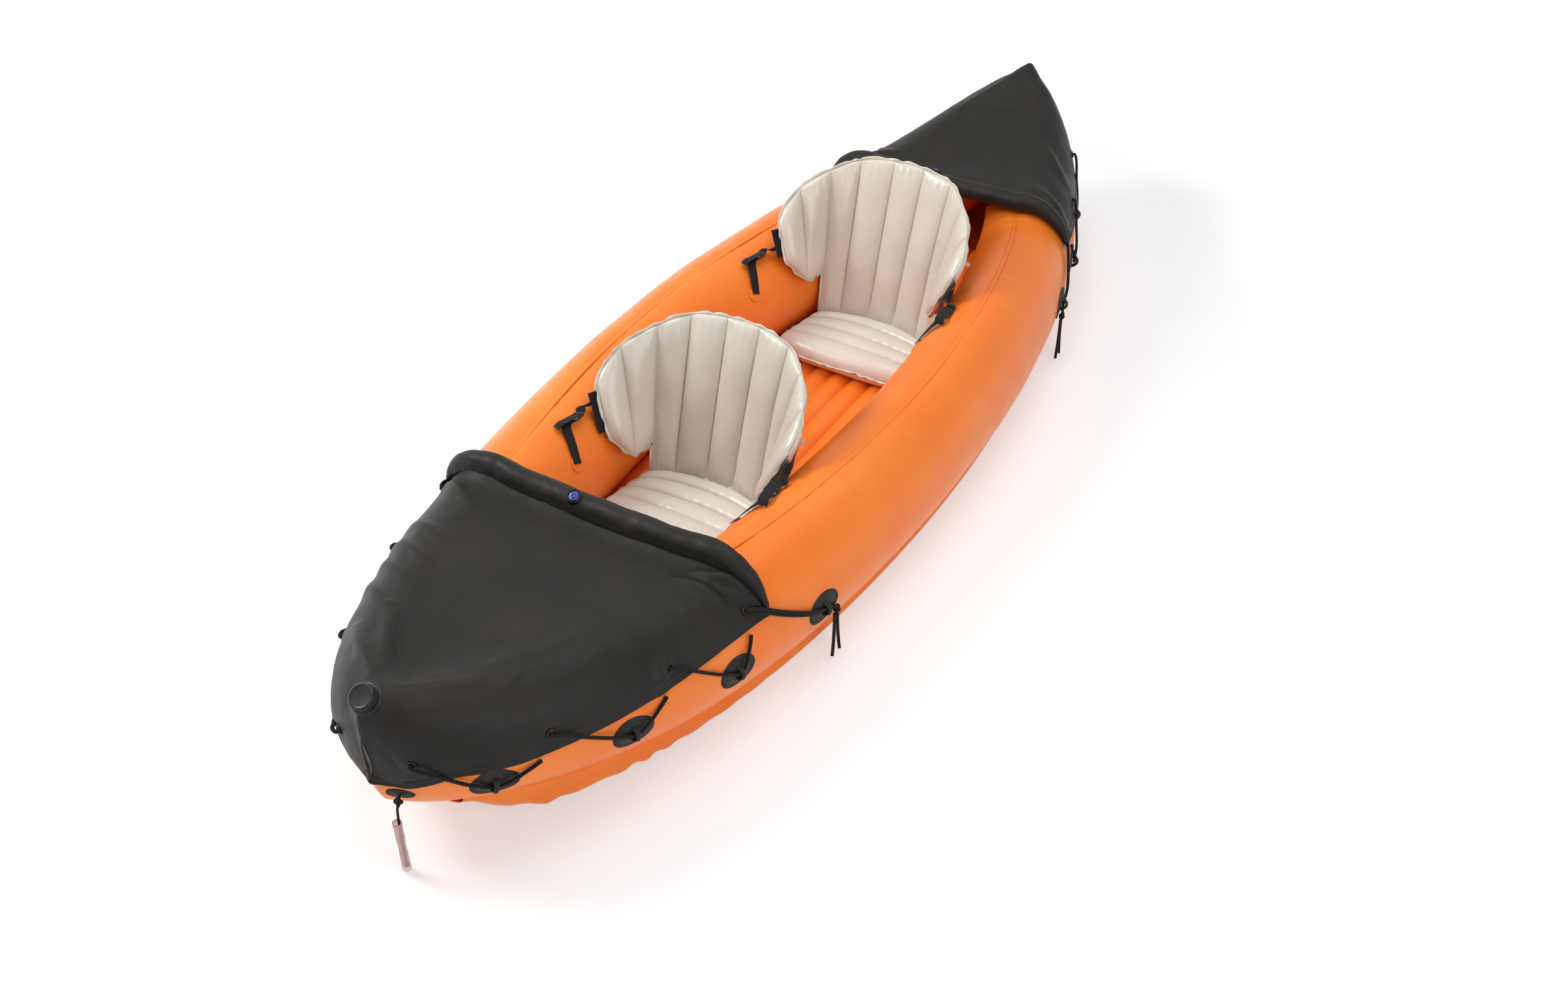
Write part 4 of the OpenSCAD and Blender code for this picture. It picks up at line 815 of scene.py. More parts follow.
# The smooth cover as rows of points from the port hem over the deck to the starboard hem
def coverForm(end):
    lon = end * np.linspace(lonAt(edgeOf(end)), covers["lonEnd"], coverMesh["rows"])[:, None]
    low = hemAngle(end, lon, skin)
    low = low - covers["noseDrop"] * smoothStep(coverShare(end, lon), 0.90, 1.0)  # a corner hangs at the nose
    ang = mix(low, topAngle(lon, skin), np.linspace(0, 1, coverMesh["side"])[None])
    deck = deckPoint(lon, skin, np.linspace(1, 0, coverMesh["deck"])[None, 1:])
    half = np.concatenate([hullPoint(lon, ang, skin), deck], 1)
    points = np.concatenate([half, mirrored(half[:, -2::-1], -1)], 1)
    for _ in range(coverMesh["smooth"]):  # rounds the turn from chamber to deck
        points[:, 1:-1] = 0.25 * points[:, :-2] + 0.5 * points[:, 1:-1] + 0.25 * points[:, 2:]
    return points


# Relief of a cover: a beaded hem, folds, a swell into the coaming, slow waves, a ridge at the nose and rings
def coverRelief(end, points, fromHem):
    x, y = np.abs(points[..., 0]), np.abs(points[..., 1])
    hemEnd = coverMesh["hem"] + coverMesh["hemStep"]
    height = coverMesh["hemLift"] * (1 - smoothStep(fromHem, coverMesh["hem"], hemEnd))
    height += ridge(fromHem, coverRidges["hemBead"]) + ridge(fromHem, coverRidges["hemGroove"])
    height += coverMesh["foldGain"] * sum(foldHeight(points, fold) for fold in deckFolds[end])
    inside = smoothStep(fromHem, coverMesh["rollFrom"], coverMesh["rollTo"])
    height += ridge(y - edgeOf(end), coverRidges["roll"]) * inside
    height += coverMesh["swell"] * undulation(points, wavelength=0.26, seed=40 + end)
    height += coverMesh["small"] * undulation(points, wavelength=0.08, seed=43)
    atNose = smoothStep(y, coverMesh["noseFrom"], coverMesh["noseTo"])
    height += (ridge(x, coverRidges["nose"]) + ridge(x, coverRidges["besideNose"])) * atNose
    for centre in eyeletCentres(end):
        height += ridge(np.linalg.norm(points - centre, axis=-1), coverRidges["eyeletRing"])
    return np.maximum(height, coverMesh["lowest"])


# Faces of a cover: its grid without the eyelets' holes, and a cap that zips the two halves at the nose
def coverPart(end, points, normal):
    part = gridPart(points, toward=normal[:-1, :-1].reshape(-1, 3))
    rows, cols = points.shape[:2]
    last = (rows - 1) * cols
    pairs = np.arange(cols // 2 - 1)
    cap = np.stack([last + pairs, last + pairs + 1, last + cols - 2 - pairs, last + cols - 1 - pairs], 1)
    tip = [last + cols // 2 - 1, last + cols // 2, last + cols // 2 + 1]
    capNormal = np.cross(points[-1, 1] - points[-1, 0], points[-1, -1] - points[-1, 0])
    if capNormal[1] * end < 0:
        cap, tip = cap[:, ::-1], tip[::-1]
    middle = part["verts"][part["quads"]].mean(1)
    keep = np.ones(len(middle), bool)
    for centre in eyeletCentres(end):
        keep &= np.linalg.norm(middle - centre, axis=1) > coverMesh["hole"]
    part["quads"] = np.vstack([part["quads"][keep], cap])
    part["ends"] = [tip]
    return part


for end, endName in endNames.items():
    points = coverForm(end)
    centreLine = points.shape[1] // 2
    normal = unit(np.cross(np.gradient(points, axis=0), np.gradient(points, axis=1)))
    normal *= np.sign(normal[:, centreLine, 2].mean())
    step = np.linalg.norm(np.diff(points, axis=1), axis=2)
    fromPort = np.concatenate([np.zeros((len(points), 1)), np.cumsum(step, 1)], 1)
    fromHem = np.minimum(fromPort, fromPort[:, -1:] - fromPort)
    points = points + coverRelief(end, points, fromHem)[..., None] * normal
    cover = makePiece(endName + "Cover", [coverPart(end, points, normal)], "cover_vinyl", "hull",
                      endName + "_cover")
    thicken(cover, coverMesh["thick"], -1)
print("covers made")

# Coamings: inflated rolls on the cockpit edges, with a welded skirt towards the nose
coaming = {"radius": 0.027, "endRadius": 0.009, "tipLength": 2.4, "tipRings": 7, "tipHole": 0.04,
           "endRise": 12.0, "gap": 0.0006, "sideStops": 9, "deckStops": 5, "steps": 12, "sides": 40,
           "skirt": 0.36, "skirtAngle": {-1: -135.0, 1: -45.0}, "wrinkle": 0.0011, "wrinkleFrom": 0.004,
           "wrinkleTo": 0.014}
eyeletRing = rounded([(0.0060, -0.001), (0.0060, 0.0030), (0.0082, 0.0036), (0.0106, 0.0026),
                      (0.0110, 0.0010), (0.0095, 0.0006), (0.0080, -0.001), (0.0060, -0.001)],
                     radius=0.0012, steps=4)


def coamingStops(end):  # the roll's line from hem to hem, with its radius and the way out of the cover
    lon = end * lonAt(edgeOf(end))
    f = np.linspace(0, 1, coaming["sideStops"])
    r = mix(coaming["endRadius"], coaming["radius"], sinD(90 * f) ** 0.8)
    ang = mix(hemAngle(end, lon) + coaming["endRise"], covers["bridgeAngle"], f)
    onSide = aboveHull(lon, ang, skin + coaming["gap"] + r)
    n = hullNormal(lon, covers["bridgeAngle"])
    share = 1 - np.arange(1, coaming["deckStops"] + 1) / coaming["deckStops"]
    lift = unit(np.stack([n[0] * share, np.full_like(share, n[1]), np.full_like(share, n[2])], 1))
    onDeck = deckPoint(lon, skin, share) + (coaming["gap"] + coaming["radius"]) * lift
    radii = np.append(r, [coaming["radius"]] * len(share))[:, None]
    line = np.hstack([np.vstack([onSide, onDeck]), radii, np.vstack([hullNormal(lon, ang), lift])])
    turned = np.array([-1, 1, 1, 1, -1, 1, 1])
    return np.vstack([line, line[-2::-1] * turned])


def coamingTip(ring, way):  # rings that round off an end of the roll, from the tip inwards
    reach = sinD(np.linspace(90, 12, coaming["tipRings"]))[:, None]
    rings = np.repeat(ring[None], len(reach), 0)
    rings[:, :3] += way * (coaming["tipLength"] * ring[3] * reach)
    rings[:, 3:4] = ring[3] * np.maximum(np.sqrt(1 - reach ** 2), coaming["tipHole"])
    return rings


for end, endName in endNames.items():
    line = through(coamingStops(end), coaming["steps"])
    wayOut = -unit(line[1, :3] - line[0, :3])
    line = np.vstack([coamingTip(line[0], wayOut), line, coamingTip(line[-1], mirrored(wayOut, -1))[::-1]])
    middle, r, facing = line[:, :3], line[:, 3:4], line[:, 4:7]
    a = around(coaming["sides"])
    skirtFrom = a - np.radians(coaming["skirtAngle"][end])
    skirt = 1 + coaming["skirt"] * np.maximum(0, np.cos(skirtFrom)) ** 10
    rings = middle[:, None] + r[:, None] * np.stack([np.cos(a), np.sin(a), 0 * a], 1)
    wrinkles = undulation(rings, wavelength=0.10, seed=61 + end)
    wrinkles += 0.5 * undulation(rings, wavelength=0.035, seed=67)
    wrinkles *= coaming["wrinkle"] * smoothStep(r, coaming["wrinkleFrom"], coaming["wrinkleTo"])
    radius = r * skirt[None] + wrinkles
    outline = np.stack([radius * np.cos(a), radius * np.sin(a)], -1)
    makePiece(endName + "Coaming", [sweepPart(middle, outline, facing)], "cover_vinyl", "hull",
              endName + "_coaming")

    # eyelets: rolled rings in the hem
    eyelets = []
    for k in range(len(covers["eyelets"])):
        lon, ang = eyeletSpot(end, k)
        for side in sideNames:
            place, axis = aboveHull(lon, ang, skin), hullNormal(lon, ang)
            eyelets.append(lathePart(eyeletRing, mirrored(place, side), mirrored(axis, side), sides=40))
    makePiece(endName + "EyeletRings", eyelets, "black_plastic", "hull", endName + "_eyelets", weld=True)
print("coamings and eyelets made")

# Pads: the dome's shares of the radius, then the rim's, each with its share of the rim's height
padDome = {"shares": (0, 0.1, 0.2, 0.3, 0.4, 0.5, 0.57, 0.61, 0.64), "edge": 0.66, "fullness": 0.7}
padRim = [(0.67, 0.75), (0.70, 0.7), (0.74, 0.8), (0.78, 1), (0.82, 1.1), (0.86, 1.1), (0.90, 1.1),
          (0.94, 1.05), (0.97, 0.95), (0.99, 0.7), (1.0, 0.4), (1.0, 0), (0.99, 0), (0.6, 0), (0, 0)]
padRibs = {"sides": 144, "from": 0.8, "above": 0.6, "depth": 0.0007}


# An oval pad on the hull with a ribbed rim and a domed middle, its profile turned round its centre
def padPart(lon, ang, side, style, ribs=0):
    rim = style["rim"]
    r = np.array(padDome["shares"])
    dome = style["dome"] * np.sqrt(np.maximum(0, 1 - (r / padDome["edge"]) ** 2)) * padDome["fullness"] + rim
    r = np.append(r, [share for share, _ in padRim])
    up = np.append(dome, [rim * height for _, height in padRim])
    a = around(padRibs["sides"])
    ribbed = (r > padRibs["from"]) & (up > rim * padRibs["above"])
    lift = up[:, None] + padRibs["depth"] * ribbed[:, None] * np.cos(ribs * a)[None]
    lonStep, angStep = (np.linalg.norm(way) for way in hullWays(lon, ang))
    points = hullPoint(lon + r[:, None] * style["length"] / 2 * np.cos(a) / lonStep,
                       ang + r[:, None] * style["height"] / 2 * np.sin(a) / angStep,
                       patch["gap"] * 0.5 + lift)
    return gridPart(mirrored(points, side), loopCols=True)


# A bridge loop: a flat bar with a round spine, bent over in half a turn and flared at its feet
def bridgeParts(lon, ang, side):
    mid, out = aboveHull(lon, ang, padTop - patch["footSunk"]), hullNormal(lon, ang)
    across, up = (unit(way) for way in hullWays(lon, ang))
    a = np.radians(np.linspace(*patch["loopSpan"], patch["loopSteps"]))[:, None]
    arch = mid + patch["loopRadius"] * (np.cos(a) * up + np.sin(a) * patch["loopSquash"] * out)
    flare = 1 + patch["footFlare"] * np.abs(np.cos(a)) ** 6
    bar = bandOutline(patch["barWidth"], patch["barThick"], 0.45)[None]
    bar = bar * np.concatenate([flare, np.ones_like(flare)], 1)[:, None]
    facing = unit(np.cos(a) * up + np.sin(a) * out)
    spine = (arch + patch["spineLift"] * facing)[4:-4]
    return [sweepPart(mirrored(arch, side), bar, mirrored(facing, side)),
            sweepPart(mirrored(spine, side), circle(patch["spineRadius"], 8), mirrored(across, side))]


for end, side in corners:
    parts = []
    for k in range(len(patch["shares"])):
        lon, ang = patchSpot(end, k)
        parts.append(padPart(lon, ang, side, patch, patch["ribs"]))
        parts += bridgeParts(lon, ang, side)
    makePiece(sideNames[side] + "Patches." + endNames[end], parts, "black_rubber", "hull",
              sideNames[side] + "_" + endNames[end] + "_patches", weld=True)
makePiece("grabPad", [padPart(grab["lon"], grab["angle"], 1, grab, grab["ribs"])], "black_rubber", "hull",
          "bow_grab_patch", weld=True)
print("patches made")

# Screw valves: a flanged neck and a ribbed cap with a dished top
valve = {"flange": 0.034, "flangeThick": 0.003, "flangeEdge": 0.0008, "neck": 0.025, "neckHeight": 0.009,
         "bore": 0.016, "rim": 0.003, "capHeight": 0.013, "plug": 0.007, "dish": 0.0022, "fit": 0.0003,
         "capSides": 144, "ribs": 36, "ribDepth": 0.0009}
joints = {j["name"]: j for j in frame["joints"]}
boreFloor = valve["flangeThick"] / 2
baseProfile = rounded([(0, boreFloor), (valve["bore"], boreFloor), (valve["bore"], valve["neckHeight"]),
                       (valve["neck"], valve["neckHeight"]), (valve["neck"], valve["flangeThick"] + 0.0012),
                       (valve["flange"] - 0.003, valve["flangeThick"]),
                       (valve["flange"], valve["flangeEdge"]), (valve["flange"], 0), (0, 0)], 0.0012)
capLow = valve["neckHeight"] + valve["fit"]
capTop = capLow + valve["capHeight"]
capEdge = valve["neck"] + valve["rim"]
plugEdge, plugLow = valve["bore"] - valve["fit"], valve["neckHeight"] - valve["plug"] + valve["fit"]
capSide = [(capEdge, capLow + rise) for rise in (0, 0.002, 0.004, 0.006, 0.008)]
capProfile = rounded([(0, plugLow), (plugEdge, plugLow), (plugEdge, capLow), *capSide,
                      (capEdge, capTop - 0.003), (capEdge - 0.004, capTop),
                      (capEdge - 0.007, capTop - 0.0016), (0.006, capTop - valve["dish"]),
                      (0, capTop - valve["dish"])], 0.0018)
ribSpan = (capLow + 0.0015, capTop - 0.0035)
for name in ("nose", "floor", "port", "starboard"):
    node = name + "_valve"
    joint = joints[node + "_twist"]
    place, axis = joint["pos_m"], joint["axis"]
    neck = lathePart(baseProfile, place, axis)
    makePiece(name + "ValveNeck", [neck], "black_plastic", "hull", node + "_base", weld=True)
    cap = lathePart(capProfile, place, axis, valve["capSides"], valve["ribs"], valve["ribDepth"], ribSpan)
    makePiece(name + "ValveCap", [cap], "black_plastic", joint["child"], node + "_cap", weld=True)

# Coaming valves: a black collar with a clear plug
plug = {"ring": 0.018, "bore": 0.0135, "height": 0.006, "radius": 0.012, "plugHeight": 0.006, "fit": 0.0003,
        "skirt": 0.008, "ribs": 6, "ribDepth": 0.0016}
collarFloor = plug["height"] / 3
collar = rounded([(0, collarFloor), (plug["bore"], collarFloor), (plug["bore"], plug["height"] - 0.001),
                  (plug["bore"] + 0.0015, plug["height"]), (plug["ring"] - 0.003, plug["height"] - 0.0005),
                  (plug["ring"], 0.002), (plug["ring"] + 0.0015, -plug["skirt"]), (0, -plug["skirt"])], 0.001)
low, edge = collarFloor + plug["fit"], plug["radius"]
top = low + plug["plugHeight"]
stopper = rounded([(0, low), (edge, low), (edge, low + 0.0015), (edge - 0.0015, low + 0.003),
                   (0.0085, low + 0.003), (0.0075, top - 0.0008), (0.006, top), (0.004, top),
                   (0.003, top - 0.002), (0, top - 0.002)], 0.0007)
for endName in endNames.values():
    joint = joints[endName + "_plug_pull"]
    axis = unit(np.array(joint["axis"]))
    lowCorner, highCorner = (np.array(c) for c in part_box(endName + "_coaming_valve"))
    place = (lowCorner + highCorner) / 2 - axis * plug["height"] / 2
    makePiece(endName + "CoamingCollar", [lathePart(collar, place, axis)], "black_plastic", "hull",
              endName + "_coaming_valve", weld=True)
    knob = lathePart(stopper, place, axis, 72, plug["ribs"], plug["ribDepth"], (low + 0.0028, top))
    makePiece(endName + "CoamingPlug", [knob], "plug_plastic", joint["child"], endName + "_coaming_plug",
              weld=True)
print("valves made")

# Seats: s counts a backrest's tubes from its middle, v is the height over the strip that joins it to its base
seat = {"front": {"y": -0.300, "height": 0.420, "wing": 0.082, "body": "front_back"},
        "rear": {"y": 0.580, "height": 0.450, "wing": 0.125, "body": "rear_back"},
        "hinge": 0.1038, "cockpitHalf": 0.239, "fill": 0.9}
base = {"depth": 0.262, "side": 0.049, "radius": 0.038, "small": 0.026, "weld": 0.009, "edge": 0.0012,
        "flare": 0.13, "curve": 0.04, "tuck": 0.04, "square": 8, "hollow": 0.048, "gap": 0.0019,
        "splits": (0, 0.2, 0.42, 0.64, 1), "steps": 18, "cols": 121, "pleat": (0.0007, 0.012, 0.008),
        "pleatLength": 0.034, "swell": 0.0010, "reliefFrom": 0.006, "reliefTo": 0.02,
        "margin": {"width": 0.006, "wave": 0.0024, "waveLength": 0.042, "seed": 75}}
back = {"half": 4.5, "narrow": 2.5, "notch": 0.03, "shoulder": 0.265, "shoulderCurve": 2.2, "wingRise": 0.090,
        "wingCurve": 2.2, "tipRound": 0.026, "edge": 0.0012, "weld": 0.0012, "radius": 0.024, "lean": 0.33,
        "share": 0.85, "steps": 18, "rows": 71, "width": 0.620, "pleat": 0.0024, "pleats": 4,
        "pleatReach": 0.09, "swell": 0.0013, "reliefFrom": 0.004, "reliefTo": 0.014,
        "margin": {"width": 0.007, "wave": 0.0022, "waveLength": 0.056, "seed": 83}}
margin = {"overlap": 0.004, "half": 0.0006, "curl": 0.0028}
halfCockpit = seat["cockpitHalf"]
planLow = np.array([[0.17 * halfCockpit, 0], [0.52 * halfCockpit, -0.020], [halfCockpit - 0.058, -0.046],
                    [halfCockpit - 0.084, -0.138], [halfCockpit - 0.099, -0.200]])
planTop = np.array([[0.19 * halfCockpit, -0.002], [0.58 * halfCockpit, -0.022], [halfCockpit - 0.034, -0.072],
                    [halfCockpit + 0.023, -0.146], [back["width"] / 2, -0.218]])


def planPoint(plan, s):  # spline through the weld lines of both halves
    knots = np.vstack([plan[::-1] * [-1, 1], plan])
    knots = np.vstack([2 * knots[0] - knots[1], knots, 2 * knots[-1] - knots[-2]])
    q = np.asarray(s, float) + back["half"]
    k = np.clip(np.floor(q), 0, len(knots) - 4).astype(int)
    return splinePoint(knots[k], knots[k + 1], knots[k + 2], knots[k + 3], (q - k)[..., None])


def backPlan(h, s, v):  # from the plan at the strip to the plan at the shoulders, in proportion to the height
    return mix(planPoint(planLow, s), planPoint(planTop, s), (np.asarray(v) / (back["share"] * h))[..., None])


def backNormal(h, s, v):
    d = unit(backPlan(h, np.add(s, 0.05), v) - backPlan(h, np.subtract(s, 0.05), v))
    return np.stack([-d[..., 1], d[..., 0], 0 * d[..., 0]], -1)


# A point of a backrest's middle sheet: the plan of its height, carried back by the lean
def backPoint(one, s, v, off=0.0):
    s, v, off = np.broadcast_arrays(np.asarray(s, float), v, off)
    p = backPlan(one["height"], s, v)
    mid = np.stack([p[..., 0], one["y"] + back["lean"] * v + p[..., 1], seat["hinge"] + v], -1)
    return mid + off[..., None] * backNormal(one["height"], s, v)


def wingShare(s):  # from 0 at a wing's notch to 1 at its tip
    return np.clip((np.abs(s) - back["narrow"]) / (back["half"] - back["narrow"]), 0, 1)


def backTop(one, s):
    fall = back["shoulder"] * (np.abs(s) / back["half"]) ** back["shoulderCurve"]
    return one["height"] * (1 - fall) - back["tipRound"] * wingShare(s) ** 6


def backLow(one, s):
    wing = one["wing"] + back["wingRise"] * wingShare(s) ** back["wingCurve"]
    return np.where(np.abs(s) <= back["narrow"], 0, wing)


def rimOf(grid):  # once round the four edges of a grid
    return np.concatenate([grid[0], grid[1:, -1], grid[-1, -2::-1], grid[-2:0:-1, 0]])


# A thin welded margin round a soft piece: a flat band whose width waves along its edge
def marginPart(edge, facing, width, wave, waveLength, seed):
    run = pathLength(np.vstack([edge, edge[:1]]))[:-1]
    reach = width + wave * pleating(run, waveLength, edge, drift=2, wavelength=0.08, seed=seed)
    t = unit(np.roll(edge, -1, 0) - np.roll(edge, 1, 0))
    outwards = np.cross(t, facing)
    way = np.sign((outwards * (edge - edge.mean(0))).sum())
    curl = margin["curl"] * undulation(edge, wavelength=0.045, seed=seed + 1)
    inner = np.full_like(run, -margin["overlap"] * way)
    half = np.full_like(run, margin["half"])
    outline = [(inner, -half), (way * reach, curl - half), (way * reach, curl + half), (inner, half)]
    return sweepPart(edge, np.moveaxis(np.array(outline), 2, 0), facing, loop=True)


# Tubes between welds: full in the middle of each, and drawn in to the weld's thickness
def tubeSwell(f, weld, full):
    return mix(weld, full, np.sqrt(np.maximum(0, 1 - (2 * f - 1) ** 2)))


def cushionPiece(name, front, rear, welded, body, node):  # two skins that meet at their rims, and the margin
    skins = gridPart(np.concatenate([front, rear[:, -2:0:-1]], 1), loopCols=True)
    cushion = makePiece(name, [skins, welded], "seat_vinyl", body, node, weld=True)


# Base cushion: tubes across the boat, the front one the fattest, closed at both outer edges
def makeBase(name, one):
    f, swell = [], []
    last = len(base["splits"]) - 2
    g = crowded(np.arange(base["steps"]) / base["steps"])
    for k, (a, b) in enumerate(zip(base["splits"][:-1], base["splits"][1:])):
        full = base["radius"] if k == last else base["small"]
        tube = tubeSwell(g, base["weld"], full)
        if k == 0:
            tube = np.where(g < 0.5, full * np.sin(np.pi * g) ** 1.6, tube)
        if k == last:
            tube = np.where(g > 0.5, tubeSwell(g, 0, full), tube)
        f.append(mix(a, b, g))
        swell.append(tube)
    f = np.append(np.concatenate(f), 1)[:, None]
    swell = np.append(np.concatenate(swell), 0)[:, None]
    b = np.sin(np.pi / 2 * np.linspace(-1, 1, base["cols"]))[None]
    x = b * (halfCockpit - base["side"]) * (1 + base["flare"] * sinD(90 * f)) * (1 - base["tuck"] * f ** 8)
    rearEdge = -base["gap"] - base["hollow"] * b ** 2
    frontEdge = -base["depth"] * (1 - base["curve"] * b ** 2)
    y = one["y"] + mix(rearEdge, frontEdge, f)
    thick = np.minimum(swell * np.sqrt(1 - b ** base["square"]) + base["edge"], base["radius"])
    flat = np.stack([x, y, np.full_like(x, seat["hinge"])], -1)
    pleats = pleating(x, base["pleatLength"], flat, drift=2, wavelength=0.1, seed=71)
    relief = ridge(swell, base["pleat"]) * pleats + base["swell"] * undulation(flat, wavelength=0.09, seed=73)
    thick = thick + relief * smoothStep(thick, base["reliefFrom"], base["reliefTo"])
    up, down = flat.copy(), flat.copy()
    up[..., 2] += thick
    down[..., 2] -= np.minimum(thick, base["radius"])
    welded = marginPart(rimOf(flat.swapaxes(0, 1)), np.array([0.0, 0, 1]), **base["margin"])
    cushionPiece(name + "SeatBase", up, down, welded, "hull", name + "_seat_base")


# Backrest: upright tubes bent round the paddler, pleated at their ends
def makeBackrest(name, one):
    tube = np.arange(-back["half"], back["half"])
    g = crowded(np.arange(back["steps"]) / back["steps"])
    s = np.append((tube[:, None] + g[None]).ravel(), back["half"])
    atNotch = np.abs(np.abs(s) - back["narrow"]) < 1e-6
    besides = [k * back["narrow"] + step for k in (-1, 1) for step in (-back["notch"], back["notch"])]
    s = np.sort(np.append(s[~atNotch], besides))
    f = np.linspace(0, 1, back["rows"])
    f = mix(crowded(f), f, 0.45)
    v = mix(backLow(one, s)[:, None], backTop(one, s)[:, None], f[None])
    part = s + back["half"] - np.floor(s + back["half"])
    across = tubeSwell(part, back["weld"], back["radius"])[:, None]
    across = np.where((np.abs(s) >= back["half"])[:, None], back["edge"], across)
    swell = mix(back["edge"], across, np.sqrt(1 - np.abs(2 * f - 1) ** 3)[None])
    sheet = backPoint(one, s[:, None], v)
    ends = hump(f, back["pleatReach"]) + hump(1 - f, back["pleatReach"])
    pleats = np.sin(2 * np.pi * part * back["pleats"])[:, None] * ends[None]
    relief = back["pleat"] * pleats + back["swell"] * undulation(sheet, wavelength=0.11, seed=81)
    swell = (swell + relief * smoothStep(swell, back["reliefFrom"], back["reliefTo"]))[..., None]
    out = backNormal(one["height"], np.broadcast_to(s[:, None], v.shape), v)
    welded = marginPart(rimOf(sheet), rimOf(out), **back["margin"])
    cushionPiece(name + "Backrest", sheet + swell * out, sheet - swell * out, welded, one["body"],
                 name + "_backrest")


# Air nipple: a small turned stem behind the port shoulder, on the tube's crown and square to its slope
nipple = {"s": 4.0, "share": 0.82, "lift": 0.0015, "sides": 40}
nippleProfile = rounded([(0, 0), (0.008, 0), (0.008, 0.0015), (0.0055, 0.002), (0.005, 0.010), (0.004, 0.012),
                         (0, 0.012)], 0.0008)


def makeNipple(name, one):
    v = float(mix(backLow(one, nipple["s"]), backTop(one, nipple["s"]), nipple["share"]))
    n = backNormal(one["height"], nipple["s"], v)
    bulge = mix(back["edge"], back["radius"], math.sqrt(1 - (2 * nipple["share"] - 1) ** 3))
    stem = lathePart(nippleProfile, backPoint(one, nipple["s"], v, bulge + nipple["lift"]),
                     n - np.array([0, 0, back["lean"] * n[1]]), nipple["sides"])
    makePiece(name + "AirNipple", [stem], "clear_vinyl", one["body"], name + "_backrest_valve", weld=True)


# Joining strip: creased vinyl from the base up to the backrest, a profile of y and z carried across the boat
joining = {"half": 0.172, "cols": 121, "bow": 0.9, "crease": 0.0022, "creaseLength": 0.027,
           "profile": [[-0.034, 0.020], [-0.014, 0.008], [-0.002, 0.006], [0.004, 0.022], [0.012, 0.046]]}


def makeJoiningStrip(name, one):
    hinge = seat["hinge"]
    x = np.linspace(-joining["half"], joining["half"], joining["cols"])[None]
    strip = through(joining["profile"], steps=6)
    y = one["y"] + strip[:, :1] - joining["bow"] * x ** 2
    points = np.stack(np.broadcast_arrays(x, y, hinge + strip[:, 1:]), -1).copy()
    crease = pleating(x, joining["creaseLength"], points, drift=2, wavelength=0.07, seed=91)
    points[..., 2] += joining["crease"] * crease * np.sin(np.pi * np.linspace(0, 1, len(strip)))[:, None]
    piece = makeMesh(name + "JoiningStrip", [gridPart(points, toward=(0, 0, 1))], "seat_vinyl")
    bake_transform(piece)


for name in ("front", "rear"):
    makeBase(name, seat[name])
    makeBackrest(name, seat[name])
    makeNipple(name, seat[name])
    makeJoiningStrip(name, seat[name])
print("seats made")

# Straps, buckles and tabs
strap = {"width": 0.025, "thick": 0.0016, "steps": 10, "behind": (2.9, 3.6, 4.2),
         "off": back["radius"] + 0.0051, "height": 0.245, "rim": 0.018, "rimPlace": 4.8, "looseFall": 0.002,
         "looseReach": 0.044, "sewnEnd": 0.010, "sewnRim": 4.66, "sewnOff": 0.007}
ladder = {"fore": 0.200, "angle": 118.0, "off": 0.01575, "tilt": 15.0, "length": 0.040, "thick": 0.005,
          "halfWide": 0.0150, "halfLong": 0.0175, "squareness": 0.4, "sides": 72,
          "bar": (0.0048, 0.0046, 0.45), "barHalf": 0.0145, "bars": ((0.0, 0.0012), (0.009, -0.0006))}
tab = {"fore": 0.284, "angle": 146.0, "length": 0.044, "height": 0.036, "rim": 0.0022, "dome": 0.0022}
buckleWay = np.array([sinD(ladder["tilt"]), 0, cosD(ladder["tilt"])])
buckleWide = np.array([cosD(ladder["tilt"]), 0, -sinD(ladder["tilt"])])
buckleHalf = ladder["length"] / 2
band = bandOutline(strap["width"], strap["thick"])


# Webbing: the band's outline carried along a spline, its face turned along another
def bandPart(stops, ways, side):
    path, facing = through(stops, strap["steps"]), unit(through(ways, strap["steps"]))
    return sweepPart(mirrored(path, side), band, mirrored(facing, side))


# From the wing's tubes over its rim and down to the buckle
def makeStrap(label, node, one, side, buckle):
    end = buckle + np.array([0, buckleHalf - 0.006, 0])
    rimPoint = backPoint(one, strap["rimPlace"], strap["height"], strap["rim"])
    stops = [backPoint(one, s, strap["height"], strap["off"]) for s in strap["behind"]]
    ways = [backNormal(one["height"], s, strap["height"]) for s in strap["behind"]]
    stops += [rimPoint, mix(rimPoint, end, 0.55) + np.array([0.010, 0.002, 0.004]),
              end + np.array([0.002, 0.012, 0.001]), end]
    ways += [unit(np.array([0.85, 0, 0.5])), unit(buckleWay + np.array([0.3, 0, 0])), buckleWay, buckleWay]
    webbing = makeMesh(label + "Strap", [bandPart(stops, ways, side)], "webbing")
    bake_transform(webbing)
    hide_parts(node + "_strap")


# The sewn part of the strap, along the wing's outer rim
def makeSewnStrap(label, one, side):
    high = backTop(one, back["half"]) - strap["sewnEnd"]
    low = backLow(one, back["half"]) + strap["sewnEnd"]
    heights = np.linspace(high, low, 7)
    stops = [backPoint(one, strap["sewnRim"], v, strap["sewnOff"]) for v in heights]
    ways = [backNormal(one["height"], strap["sewnRim"], v) for v in heights]
    makePiece(label + "SewnStrap", [bandPart(stops, ways, side)], "webbing", one["body"])


